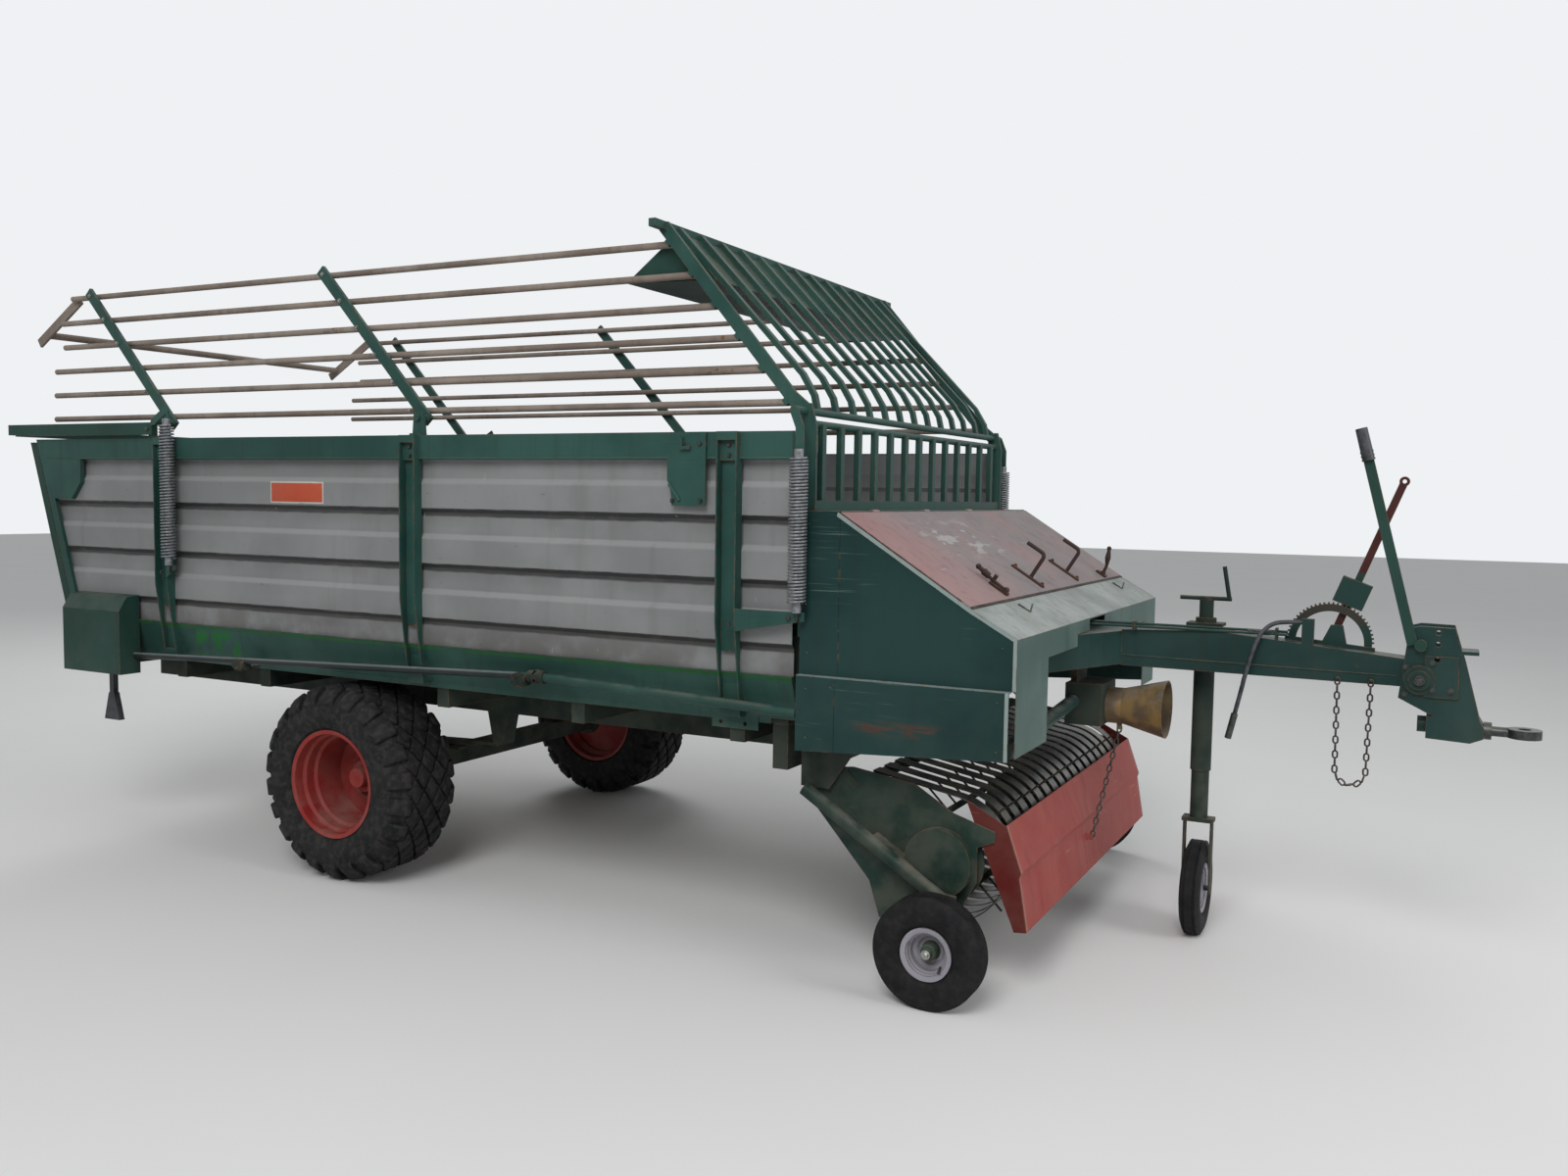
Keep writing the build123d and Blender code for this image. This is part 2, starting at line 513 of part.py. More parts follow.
def hood():
    """The sloping lid over the feed rotor on its hinge rod, with its handles and latches."""
    half = HOUSING_OUT - SHEET - 6
    length = lid_length()
    lid = side_prism([on_lid(6, 4), on_lid(length, 4), on_lid(length, 1), on_lid(6, 1)], -half, half)
    for y in HOOD_KNUCKLES:
        ends = (LID_TOP_X, y - 28, HOUSING_TOP), (LID_TOP_X, y + 28, HOUSING_TOP)
        knuckle = rod(*ends, HOOD_PIN + 4)
        knuckle += side_prism([on_lid(3, 4), on_lid(12, 4), on_lid(12, 1), on_lid(3, 1)], y - 28, y + 28)
        lid += knuckle
        lid -= rod(*ends, HOOD_PIN + FIT)
    save("hood_lid", lid)
    pieces = []
    for y in (-620, -215):
        flat = side_prism([on_lid(length * 0.66, 4), on_lid(length * 0.97, 4), on_lid(length * 0.97, 12),
                           on_lid(length * 0.66, 12)], y - 10, y + 10)
        x, z = on_lid(length * 0.80, 12)
        grip = rod((x, y, z), (x + 12, y, z + 95), 8) + rod((x + 12, y, z + 90), (x - 110, y, z + 150), 8)
        pieces.append(flat + grip)
    for y in (-860, 300):
        x, z = on_lid(length * 0.90, 4)
        pieces.append(side_prism([on_lid(length * 0.80, 4), on_lid(length * 0.98, 4), on_lid(length * 0.98, 22),
                                  on_lid(length * 0.80, 22)], y - 14, y + 14))
    save("hood_handles", *pieces)


def feed_channel():
    """Curved sheet that guides the crop from the pick-up to the floor, with a lip on the floor."""
    x, z = ROTOR
    outer, inner = CHANNEL_R + 4, CHANNEL_R
    start, end = math.radians(-112), math.radians(-155)
    half = SIDE_IN - 25

    def point(radius, angle):
        return Vector(x + radius * math.cos(angle), -half, z + radius * math.sin(angle))

    middle = (start + end) / 2
    lip_x = FLOOR_FRONT + 20
    edges = [ThreePointArc(point(inner, start), point(inner, middle), point(inner, end)),
             Line(point(inner, end), point(outer, end)),
             ThreePointArc(point(outer, end), point(outer, middle), point(outer, start)),
             Line(point(outer, start), point(inner, start))]
    sheet = extrude(Face(Wire(edges)), amount=2 * half, dir=(0, 1, 0))
    tip = point(inner, end)
    lip = side_prism([(lip_x, FLOOR_TOP), (tip.X + 1, FLOOR_TOP), (tip.X + 1, FLOOR_TOP + 4),
                      (lip_x, FLOOR_TOP + 4)], -half, half)
    save("feed_channel", sheet + lip)


def feed_rotor():
    x, z = ROTOR
    shaft = rod((x, -SIDE_IN - 12, z), (x, SIDE_IN + 12, z), REEL_SHAFT)
    rotor = shaft + rod((x, 35 - SIDE_IN, z), (x, SIDE_IN - 35, z), ROTOR_TUBE)
    for index in range(6):
        y = -750 + index * 300
        for blade in range(3):
            turn = blade * 120 + index * 20
            finger = side_prism([(x + 30, z - 28), (x + 150, z - 20), (x + ROTOR_TIP, z + 34),
                                 (x + 140, z + 22), (x + 30, z + 28)], y - 6, y + 6)
            rotor += finger.rotate(Axis((x, y, z), (0, 1, 0)), turn)
    save("feed_rotor", rotor)


def tyre_profile(radius, width, rim_r, rim_width, crown):
    """Half of a tyre's section from bead to crown, as (radius, distance out)."""
    side = width / 2
    bead, seat = rim_r - 12, rim_width / 2 - 6 - SEAT
    height = radius - bead
    return [(bead, seat), (rim_r + 1, seat), (rim_r + 7, (seat + side) / 2), (bead + height * 0.32, side - 2),
            (bead + height * 0.55, side), (radius - crown * 2.2, side * 0.96), (radius - crown, side * 0.82),
            (radius, side * 0.63)]


def tyre_body(radius, width, rim_r, rim_width, crown):
    """A plain tyre about the origin."""
    half = tyre_profile(radius, width, rim_r, rim_width, crown)
    return turned(half + [(r, -w) for r, w in half[::-1]], 0, 0, 0)


def lugged_tyre():
    """The main tyre: two staggered middle rows of blocks, and a row over each shoulder."""
    blocks = []
    for out, long, wide, lean, tilt, sunk, phase in LUG_ROWS:
        for index in range(LUG_COUNT):
            block = Rot(0, 0, tilt) * (Rot(lean, 0, 0) * Box(LUG_DEPTH, wide, long))
            block = Pos(TYRE_R - LUG_DEPTH / 2 - sunk, out * TYRE_W / 2, 0) * block
            blocks.append(block.rotate(Axis.Y, (index + phase) * 360 / LUG_COUNT))
    return tyre_body(TYRE_R - LUG_HEIGHT, TYRE_W, RIM_R, RIM_W, 26).fuse(*blocks)


def wheel(name, side, place, tyre, rim_r, rim_w, stub, disc, cap):
    """A tyre on a dished rim that turns on a stub; side is 1 where outwards is +Y."""
    save(f"{name}_tyre", place * tyre)
    seat = rim_w / 2
    bead, step = rim_r - 12 - SEAT, rim_r * 0.052
    first, second, third = bead - 5, bead - 5 - step, bead - 5 - 2 * step
    barrel = [(bead, -seat + 6), (rim_r, -seat + 6), (rim_r, -seat), (rim_r - 4, -seat), (first, -seat + 4),
              (first, -seat * 0.70), (third, -seat * 0.60), (third, seat * 0.36), (second, seat * 0.42),
              (second, seat * 0.66), (first, seat * 0.72), (first, seat - 4), (rim_r - 4, seat),
              (rim_r, seat), (rim_r, seat - 6), (bead, seat - 6)]
    inner, outer = disc
    hub = stub * 2.2
    plate = [(stub + FIT, inner), (third + 2, inner + 14), (third + 2, inner + 22), (hub * 1.75, inner + 20),
             (hub * 1.5, inner + 10), (hub, inner + 10), (hub, outer - 5), (hub - 4, outer), (stub + FIT, outer)]
    rim = turned(barrel, 0, 0, 0, side) + turned(plate, 0, 0, 0, side)
    if cap:
        cover = [(0, outer), (stub * 1.5, outer), (stub * 1.3, outer + cap), (0, outer + cap)]
        rim += turned(cover, 0, 0, 0, side)
    save(f"{name}_rim", place * rim)


def wheels():
    main = lugged_tyre()
    gauge = tyre_body(GAUGE_R, GAUGE_W, GAUGE_RIM_R, 80, 12)
    for side, label in ((-1, "right"), (1, "left")):
        wheel(f"wheel_{label}", side, Pos(at(0), side * WHEEL_Y, TYRE_R), main, RIM_R, RIM_W, STUB_R, (-95, -20), 40)
        wheel(f"gauge_wheel_{label}", side, Pos(GAUGE_X, side * GAUGE_Y, GAUGE_R), gauge, GAUGE_RIM_R, 80,
              GAUGE_STUB_R, (-28, 20), 16)
    jack_tyre = tyre_body(JACK_R, JACK_W, JACK_RIM_R, 60, 8)
    place = Pos(JACK_X, JACK_Y, JACK_R) * Rot(0, 0, 90)
    wheel("jack_wheel", 1, place, jack_tyre, JACK_RIM_R, 60, JACK_STUB_R, (-30, 30), 0)


def axle():
    """Square axle tube with its stubs, under a stack of spring leaves on each side."""
    half = AXLE_TUBE / 2
    x, z = at(0), TYRE_R
    body = box(x - half, x + half, -AXLE_END, AXLE_END, z - half, z + half)
    for side in (-1, 1):
        stub_end = side * (WHEEL_Y - 22)
        body += rod((x, side * AXLE_END, z), (x, stub_end, z), STUB_R)
        body += rod((x, side * AXLE_END, z), (x, side * (AXLE_END + 30), z), 70)
    for side in (-1, 1):
        y = side * (BEAM_IN + BEAM_OUT) / 2
        for reach, top in ((520, TYRE_R + 140), (400, TYRE_R + 129)):
            body += bent_bar([(at(-40) - reach, top - 5), (at(-190), top - 20), (at(-40), top - 26),
                              (at(110), top - 20), (at(-40) + reach, top - 5)], 60, 10, y)
        for reach, top in ((290, TYRE_R + 98), (180, TYRE_R + 87)):
            body += box(at(-40) - reach, at(-40) + reach, y - 30, y + 30, top - 11, top)
        body += box(at(-50), at(50), y - 35, y + 35, TYRE_R + half, TYRE_R + 80)
    save("axle", body)


def drawbar():
    half = BEAM_HALF
    root_x = BEAM_FRONT
    beam = side_prism(DRAWBAR, -half, half)
    root = plan_prism([(root_x, -470), (at(3055), -half), (at(3055), half), (root_x, 470)],
                      MEMBER_BOTTOM, MEMBER_TOP)
    x, y, z = HOSE_POINTS[0]
    fitting = box(at(x), at(x) + 40, y - 15, y + 15, drawbar_top(at(x)) - 8, z + 14)
    pins = [rod((at(x), -half - 18, CHAIN_TOP), (at(x), -half, CHAIN_TOP), 4) for x in CHAIN_ENDS]
    save("drawbar", beam + root + fitting + pins[0] + pins[1])
    plate = [(at(4010), 1000), (at(4035), 1242), (at(4070), 1252), (at(4175), 1250), (at(4215), 1120),
             (at(4262), 940), (at(4130), 940)]
    head = side_prism(plate, -half - 15, -half) + side_prism(plate, half, half + 15)
    cover = [(at(4088), 1010), (at(4088), 1152), (at(4190), 1152), (at(4195), 1010)]
    head += side_prism(cover, -half - 23, -half - 15)
    for z in (1140, 1192, 1232):
        head -= rod((at(4125), -half - 30, z), (at(4125), half + 30, z), 9)
    for radius, reach in ((50, 27), (34, 36), (17, 52)):
        head += rod((at(4073), -half - reach, 1067), (at(4073), half + reach, 1067), radius) \
            - rod((at(4073), -half, 1067), (at(4073), half, 1067), radius + 6)
    head += box(at(4062), at(4250), -half, half, 1160, 1172)
    block = [(at(4100), 868), (at(4100), 945), (at(4262), 940), (at(4275), 918),
             (at(4275), 880), (at(4235), 862)]
    head += side_prism(block, -half - 15, half + 15)
    head += rod((at(4072), 0, 906), (at(4100), 0, 906), 28)
    save("hitch_head", head)
    x, z = EYE
    shank = rod((at(4275), 0, z), (x - EYE_OUT + 6, 0, z), 17) + rod((at(4275), 0, z), (at(4300), 0, z), 30)
    ring = Pos(x, 0, z) * Cylinder(EYE_OUT, 30)
    save("drawbar_eye", shank + ring - Pos(x, 0, z) * Cylinder(EYE_BORE, 60))


def jack():
    x, y = JACK_X, JACK_Y
    leg = rod((x, y, 640), (x, y, 1226), 38) + rod((x, y, 455), (x, y, 640), 33)
    leg += box(x - 66, x + 66, y - 44, y + 48, 1196, 1208) + rod((x, y, 1226), (x, y, 1296), 26)
    leg += box(x - 50, x + 50, BEAM_HALF, y - 30, 1060, 1160)
    fork_in = JACK_W / 2 + 12
    leg += box(x - fork_in - 8, x + fork_in + 8, y - 32, y + 32, 440, 455)
    for side in (-1, 1):
        leg += box(x + side * fork_in - 4, x + side * fork_in + 4, y - 20, y + 20, JACK_R - 20, 440)
    leg += rod((x - fork_in, y, JACK_R), (x + fork_in, y, JACK_R), JACK_STUB_R)
    leg += rod((x, y, 1290), (x, y, 1304), 20)
    leg += rod((x - 98, y, 1300), (x + 90, y, 1300), 8) + rod((x + 82, y, 1298), (x + 60, y, 1423), 8)
    save("jack_leg", leg)


def controls():
    """Lift lever; brake lever with its toothed arc and the two rods along the drawbar."""
    base = Vector(at(4047), -88, 1187)
    top = Vector(at(3856), -100, 1925)
    lever = bar(tuple(base), tuple(top), 10, 34)
    lever += rod((at(4073), -BEAM_HALF - 15, 1187), (at(4073), -100, 1187), 20)
    grip_from = base + (top - base) * 0.86
    lever += rod(tuple(grip_from), tuple(top), 19)
    save("lift_lever", lever)
    x = at(3777)
    centre_z = drawbar_top(x) + 10
    above = side_prism([(x - 200, drawbar_top(x - 200)), (x + 200, drawbar_top(x + 200)), (x + 200, 1500),
                        (x - 200, 1500)], 0, 60)
    ring = Cylinder(140, 10) - Cylinder(114, 10)
    for tooth in range(QUADRANT_TEETH):
        ring += Rot(0, 0, (tooth + 0.5) * 180 / QUADRANT_TEETH) * (Pos(142, 0, 0) * Box(9, 6, 10))
    arc = Pos(x, 20, centre_z) * Rot(90, 0, 0) * ring
    arc += side_prism([(x - 150, drawbar_top(x - 150)), (x + 150, drawbar_top(x + 150)),
                       (x + 150, drawbar_top(x + 150) + 14), (x - 150, drawbar_top(x - 150) + 14)], 12, 28)
    arc += side_prism([(x - 30, drawbar_top(x - 30)), (x + 60, drawbar_top(x + 60)),
                       (x + 43, 1232), (x + 3, 1232)], 12, 28)
    arc &= above
    linkage = arc + rod((at(3800), 12, 1215), (at(3800), 49, 1215), 16)
    foot, tip = Vector(at(3787), 42, 1192), Vector(at(3995), 42, 1747)
    lever = bar(tuple(foot), tuple(tip), 10, 26) + rod((tip.X, 37, tip.Z), (tip.X, 47, tip.Z), 17)
    lever -= rod((tip.X, 30, tip.Z), (tip.X, 55, tip.Z), 7)
    near, far = foot + (tip - foot) * 0.20, foot + (tip - foot) * 0.36
    lever += bar(tuple(near), tuple(far), 44, 104)
    linkage += lever
    rods = None
    for index in (0, 2):
        y, z = 14 * index, 4 * index
        run = rod((at(2890), y - 100, z + 1196), (at(3640), y - 45, z + 1192), 5)
        rods = run if rods is None else rods + run
    for x, y0, y1 in ((3100, -94, -46), (3600, -56, -10)):
        rods += box(at(x), at(x + 8), y0, y1, drawbar_top(at(x + 8)), 1214)
    rods -= side_prism(DRAWBAR, -BEAM_HALF, BEAM_HALF)
    save("brake_linkage", linkage, rods)


def drive():
    """Gearbox, cross shaft tube, power shaft stub with its guard, and the side drive to the floor."""
    x0, x1 = at(2850), at(2990)
    case = box(x0, x1, -80, 150, 800, 960) + box(x0 + 10, BEAM_FRONT, -40, 110, 960, MEMBER_BOTTOM)
    save("cross_drive_tube", rod((at(2880), -82, 890), (at(2880), -SIDE_IN + 2, 832), 26))
    y, z = 50.0, 868.0
    save("gearbox", case + rod((x1, y, z), (at(3125), y, z), PTO_R))
    collar = tube((x1, y, z), (at(3050), y, z), 70, 4)
    line = [(at(3050), 70), (at(3212), 112), (at(3212), 108), (at(3050), 66)]
    face = Face(Wire.make_polygon([Vector(x, y, z + r) for x, r in line], close=True))
    cone = revolve(face, axis=Axis((at(3050), y, z), (1, 0, 0)), revolution_arc=360)
    hook = box(at(3026), at(3046), y - 14, y - 10, z - 92, z - 68)
    hook += rod((at(3037), y - 14, z - 84), (at(3037), y + 9, z - 84), 3)
    save("pto_shield", collar + cone + hook)
    y = -WALL_OUT - 27
    front, rear = FLOOR_REAR + 471, FLOOR_REAR + 57
    shaft = rod((front, y, 875), (at(1069), y, 961), 14) + rod((at(1069), y, 961), (at(2184), y, 921), 18)
    for x, z, foot in ((-570, 901, -SILL_FOOT - 8), (992, 958, -SILL_FOOT - 25)):
        shaft += box(at(x) - 22, at(x) + 22, y - 20, y + 20, z - 32, z)
        shaft += box(at(x) - 22, at(x) + 22, y + 20, foot, z - 32, z - 26)
    save("floor_drive_shaft", shaft)
    out, side = WALL_OUT + 105, WALL_OUT
    section = [(-out, 790), (-out, 1085), (40 - out, 1150), (-side, 1156), (-side, 790)]
    inside = [(SHEET - out, 793), (SHEET - out, 1084), (41 - out, 1147), (-side, 1153), (-side, 793)]
    guard = end_prism(section, rear, front - 1) - end_prism(inside, rear + SHEET, front - 1 - SHEET)
    save("drive_guard", guard)


def rear_flaps():
    flaps = []
    for side in (-1, 1):
        x, y = FLOOR_REAR + 215, side * (SILL_FOOT + 20.5)
        stem = box(x - 15, x + 15, y - 12.5, y + 12.5, 660, FOOT_Z)
        bell = side_prism([(x - 20, 670), (x + 20, 670), (x + 55, 540), (x - 55, 540)], y - 14, y + 14)
        flaps.append(stem + bell)
    save("rear_flaps", *flaps)


def springs():
    """Balance springs of the hay frame, as plain cylinders of the coils' outer size."""
    for name, (x, low, high) in zip(("springs_rear", "springs_front"), SPRINGS):
        coil = rod((x, -SPRING_Y, low), (x, -SPRING_Y, high), SPRING_R)
        save(name, coil, other_side(coil))


def rod_offset(index):
    share = index / 5
    return (ROD_TOP[0] + (ROD_LOW[0] - ROD_TOP[0]) * share, ROD_TOP[1] + (ROD_LOW[1] - ROD_TOP[1]) * share)


def arm_pair(pivot_x, lever):
    """Two flat arms on pivot shafts; the rear ones carry a lever for the balance spring."""
    reach = (ROD_TOP[0] - 18, ROD_TOP[1] + 20)
    bar_y = (ARM_IN + ARM_OUT) / 2
    arm = bar((pivot_x + 12, -bar_y, PIVOT_Z - 13), (pivot_x + reach[0], -bar_y, PIVOT_Z + reach[1]),
              ARM_OUT - ARM_IN, 46)
    arm += rod((pivot_x, -ARM_OUT, PIVOT_Z), (pivot_x, -LEVER_OUT if lever else -1056, PIVOT_Z), PIVOT_R)
    if lever:
        lever_y = (LEVER_IN + LEVER_OUT) / 2
        lever_end = (SPRINGS[0][0] + 6, -lever_y, PIVOT_Z + 62)
        arm += bar((pivot_x, -lever_y, PIVOT_Z), lever_end, LEVER_OUT - LEVER_IN, 32)
        arm += rod((SPRINGS[0][0], -lever_y, SPRINGS[0][2]), (SPRINGS[0][0], -lever_y, PIVOT_Z + 58), 5)
    return [arm, other_side(arm)]


def roof():
    save("roof_arms_rear", *arm_pair(PIVOTS[0], True))
    save("roof_arms_middle", *arm_pair(PIVOTS[1], False))
    px = PIVOTS[2]
    side_y = (ARM_IN + ARM_OUT) / 2
    member = bent_bar([(px, PIVOT_Z), (px - 62, PIVOT_Z + 50), (px - 590, PIVOT_Z + 672)], ARM_OUT - ARM_IN, 46,
                      -side_y)
    for index in range(6):
        dx, dz = rod_offset(index)
        member += bar((px + dx - 6, -side_y, PIVOT_Z + dz - 5), (px + dx + 23, -side_y, PIVOT_Z + dz + 20),
                      ARM_OUT - ARM_IN, 26)
    frame = member + other_side(member)
    frame += rod((px, -LEVER_OUT, PIVOT_Z), (px, LEVER_OUT, PIVOT_Z), PIVOT_R)
    frame += box(px - 604, px - 576, -ARM_OUT - 75, ARM_OUT + 75, PIVOT_Z + 658, PIVOT_Z + 686)
    for side in (-1, 1):
        y = side * (LEVER_IN + LEVER_OUT) / 2
        frame += bent_bar([(px, PIVOT_Z), (px + 24, PIVOT_Z - 60), (SPRINGS[1][0], SPRINGS[1][2])],
                          LEVER_OUT - LEVER_IN, 30, y)
    for index in range(13):
        y = -915 + index * 152.5
        frame += bent_bar([(px, PIVOT_Z), (px - 14, PIVOT_Z + 60), (px - 60, PIVOT_Z + 135),
                           (px - 574, PIVOT_Z + 672)], 26, 18, y)
    save("roof_front_frame", frame)
    corners = [(px - 572.3, PIVOT_Z + 657.0), (px - 400.8, PIVOT_Z + 477.8), (px - 795, PIVOT_Z + 490)]
    middle = (sum(x for x, z in corners) / 3, sum(z for x, z in corners) / 3)
    inner = [(middle[0] + (x - middle[0]) * 0.9, middle[1] + (z - middle[1]) * 0.9) for x, z in corners]
    visor = side_prism(corners, -935, 935) - side_prism(inner, -932, 932)
    save("roof_visor", visor)
    for index, rear in enumerate(ROD_REARS):
        dx, dz = rod_offset(index)
        rail = rod((at(rear), -ROD_Y, PIVOT_Z + dz), (px + dx + 12, -ROD_Y, PIVOT_Z + dz), ROD_R)
        for pivot in PIVOTS:
            rail += rod((pivot + dx, -ROD_Y, PIVOT_Z + dz), (pivot + dx, -ARM_IN + SEAT, PIVOT_Z + dz), 6)
        if index == 0:
            end, cross = at(35 - REAR_REACH), at(95 - REAR_REACH)
            inside = ROD_Y - ROD_R - 12
            rail += bar((at(rear) + 22, -inside, PIVOT_Z + dz), (end, -inside, 2369), 12, 44)
            rail += rod((at(rear) + 12, -ROD_Y, PIVOT_Z + dz), (at(rear) + 12, -inside, PIVOT_Z + dz), 11)
            save("roof_rod_1", rail + other_side(rail) + rod((cross, -inside, 2408), (cross, inside, 2408), 17))
        else:
            save(f"roof_rod_{index + 1}", rail, other_side(rail))


def tailgate():
    x, z = GATE_HINGE
    y = (GATE_ARM_IN + GATE_ARM_OUT) / 2
    end = at(-REAR_REACH)
    arm = side_prism([(x + 28, z - 28), (x + 28, z + 28), (end, z + 28), (end, z - 22),
                      (end + 175, z - 28)], -GATE_ARM_OUT, -GATE_ARM_IN)
    arm -= rod((x, -1200, z), (x, -900, z), GATE_PIN + FIT)
    beam = box(end + 25, end + 65, -GATE_ARM_IN, GATE_ARM_IN, z - 28, z + 12)
    carrier = arm + beam + other_side(arm)
    bottom, top = 960.0, 1872.0

    def face(height, back):
        return (wall_rear(height) - GATE_GAP - back, height)

    half = WALL_OUT - 5
    rim = side_prism([face(bottom, 0), face(top, 0), face(top, 45), face(bottom, 45)], -half, half)
    hole = side_prism([face(bottom + 55, -60), face(top - 60, -60),
                       face(top - 60, 100), face(bottom + 55, 100)],
                      -half + 50, half - 50)
    rim -= hole
    hanger = side_prism([face(top, 0), face(top, 45), (end + 45, z - 28), (end + 65, z - 28)], -40, 40)
    rim += hanger.moved(Pos(0, -700, 0)) + hanger.moved(Pos(0, 700, 0))
    save("tailgate_frame", rim + carrier)
    low, high = bottom + 55, top - 60
    depth = [(low, 20)]
    for ridge in (1130, 1350, 1570):
        depth += [(ridge, 20), (ridge + 16, 34), (ridge + 100, 34), (ridge + 116, 20)]
    depth += [(high, 20)]
    outer = [face(height, back) for height, back in depth]
    inner = [face(height, back - SHEET) for height, back in depth]
    save("tailgate_panel", side_prism(outer + inner[::-1], -half + 50, half - 50))


def pickup():
    hx, hz = HINGE
    rx, rz = REEL
    cheek = side_prism([(at(2150), 610), (at(2165), 705), (at(2330), 722), (at(2560), 690), (at(2700), 606),
                        (at(2850), 560), (at(2850), 525), (at(2790), 500), (at(2790), 380), (at(2700), 215),
                        (at(2560), 200), (at(2440), 205), (at(2400), 330)], -CHEEK_OUT, -CHEEK_IN)
    cheek -= rod((hx, -1000, hz), (hx, -800, hz), HINGE_PIN + FIT)
    cheek -= rod((rx, -1000, rz), (rx, -800, rz), REEL_SHAFT + FIT)
    arm_y = PICKUP_ARM_Y
    side = cheek + tube((at(2170), -arm_y, 640), (at(2690), -arm_y, 322), 25, 4)
    side += side_prism([(at(2400), 470), (at(2560), 372), (at(2580), 410), (at(2430), 505)], -arm_y, -CHEEK_OUT)
    side += side_prism([(at(2640), 350), (at(2740), 340), (at(2725), 150), (at(2675), 150)],
                       -arm_y - 6, -arm_y + 6)
    side += rod((GAUGE_X, -arm_y, GAUGE_R), (GAUGE_X, -GAUGE_Y - 18, GAUGE_R), GAUGE_STUB_R)
    side += rod((rx, -CHEEK_OUT - 34, rz), (rx, -CHEEK_OUT, rz), 118) \
        - rod((rx, -CHEEK_OUT - 31, rz), (rx, -CHEEK_OUT, rz), 115)
    side += side_prism([(at(2236), 742), (at(2262), 700), (at(2340), 650), (at(2352), 664), (at(2300), 720)],
                       -CHEEK_OUT - 4, -CHEEK_OUT)
    frame = side + other_side(side)
    for x, z, radius in ((2391.5, 683.2, 20), (2481.5, 228.6, 12)):
        frame += rod((at(x), -CHEEK_IN, z), (at(x), CHEEK_IN, z), radius)
    save("pickup_frame", frame)
    pieces = []
    for index in range(BAND_COUNT):
        pieces.append(band(-(BAND_COUNT - 1) / 2 * BAND_PITCH + index * BAND_PITCH))
    save("pickup_bands", *pieces)
    guard_half = CHEEK_IN
    path = [(at(2745), 655), (at(2884), 584), (at(2938), 430), (at(2932), 412), (at(2962), 236),
            (at(2920), 232)]
    sheet = bent_bar(path[1:], 2 * guard_half, SHEET, 0)
    plate = side_prism(path, -guard_half, -guard_half + SHEET)
    hook = box(at(2938), at(2970), -58, -54, 350, 374) + rod((at(2964), -58, 362), (at(2964), -40, 362), 3)
    save("wind_guard", sheet + plate + other_side(plate) + hook)


def band(y):
    """One stripper band: over the top, round the front of the reel and back under it."""
    cx, cz = REEL
    first, last = math.radians(80), math.radians(-100)

    def ring(radius, angle):
        return Vector(cx + radius * math.cos(angle), y, cz + radius * math.sin(angle))

    outer, inner = BAND_R + BAND_THICK / 2, BAND_R - BAND_THICK / 2
    top = Vector(-math.sin(first), 0, math.cos(first)) * 318
    foot = Vector(math.sin(last), 0, -math.cos(last)) * 140
    edges = [Line(ring(outer, first) + top, ring(outer, first)),
             ThreePointArc(ring(outer, first), ring(outer, (first + last) / 2), ring(outer, last)),
             Line(ring(outer, last), ring(outer, last) + foot),
             Line(ring(outer, last) + foot, ring(inner, last) + foot),
             Line(ring(inner, last) + foot, ring(inner, last)),
             ThreePointArc(ring(inner, last), ring(inner, (first + last) / 2), ring(inner, first)),
             Line(ring(inner, first), ring(inner, first) + top),
             Line(ring(inner, first) + top, ring(outer, first) + top)]
    strap = extrude(Face(Wire(edges)), amount=BAND_WIDTH, dir=(0, 1, 0))
    return Pos(0, -BAND_WIDTH / 2, 0) * strap


def tine_reel():
    x, z = REEL
    half = CHEEK_IN - 25
    reel = rod((x, -CHEEK_OUT, z), (x, CHEEK_OUT, z), REEL_SHAFT)
    for y in (-half, 0, half):
        reel += rod((x, y - 3, z), (x, y + 3, z), TINE_BAR + 16)
    for quarter in range(4):
        turn = math.radians(45 + 90 * quarter)
        bx, bz = x + TINE_BAR * math.cos(turn), z + TINE_BAR * math.sin(turn)
        reel += rod((bx, -half, bz), (bx, half, bz), 12)
        tx, tz = x + TINE_TIP * math.cos(turn), z + TINE_TIP * math.sin(turn)
        for index in range(BAND_COUNT - 1):
            y = -(BAND_COUNT - 2) / 2 * BAND_PITCH + index * BAND_PITCH
            reel += bar((bx, y, bz), (tx, y, tz), 6, 6)
    save("tine_reel", reel)


def hydraulic_hose():
    """A round hose from the fitting on the drawbar, over its side and down to a hanging coupling."""
    points = [Vector(at(x), y, z) for x, y, z in HOSE_POINTS]
    radii = []
    for before, here, after in zip(points, points[1:], points[2:]):
        turn = (here - before).get_angle(after - here)
        shorter = min((here - before).length, (after - here).length)
        radii.append(0.45 * shorter / math.tan(math.radians(turn) / 2))
    path = FilletPolyline(*points, radius=radii)
    section = Plane(origin=path @ 0, z_dir=path % 0) * Circle(HOSE_R)
    save("hydraulic_hose", sweep(section, path=path))
    end, along = path @ 1, path % 1
    save("hose_coupling", rod(tuple(end), tuple(end + along * 95), 12))


def chains():
    """A loop of safety chain under the drawbar, and the chain that holds the power shaft's guard."""
    y = -BEAM_HALF - 9
    (x0, x1), top = CHAIN_ENDS, CHAIN_TOP + 4
    centre, low, radius = (x0 + x1) / 2, 727.0, 50.0
    loop = [(at(x0), y, top)]
    for step in range(7):
        turn = math.pi * step / 6
        loop.append((at(centre - radius * math.cos(turn)), y, low - radius * math.sin(turn)))
    loop.append((at(x1), y, top))
    save("hitch_chain", *chain(loop, 26.0, (0, 1, 0)))
    save("guard_chain", *chain([(at(3037), 50, 788), (at(2964), -49, 358)], 26.0, (0, 1, 0)))


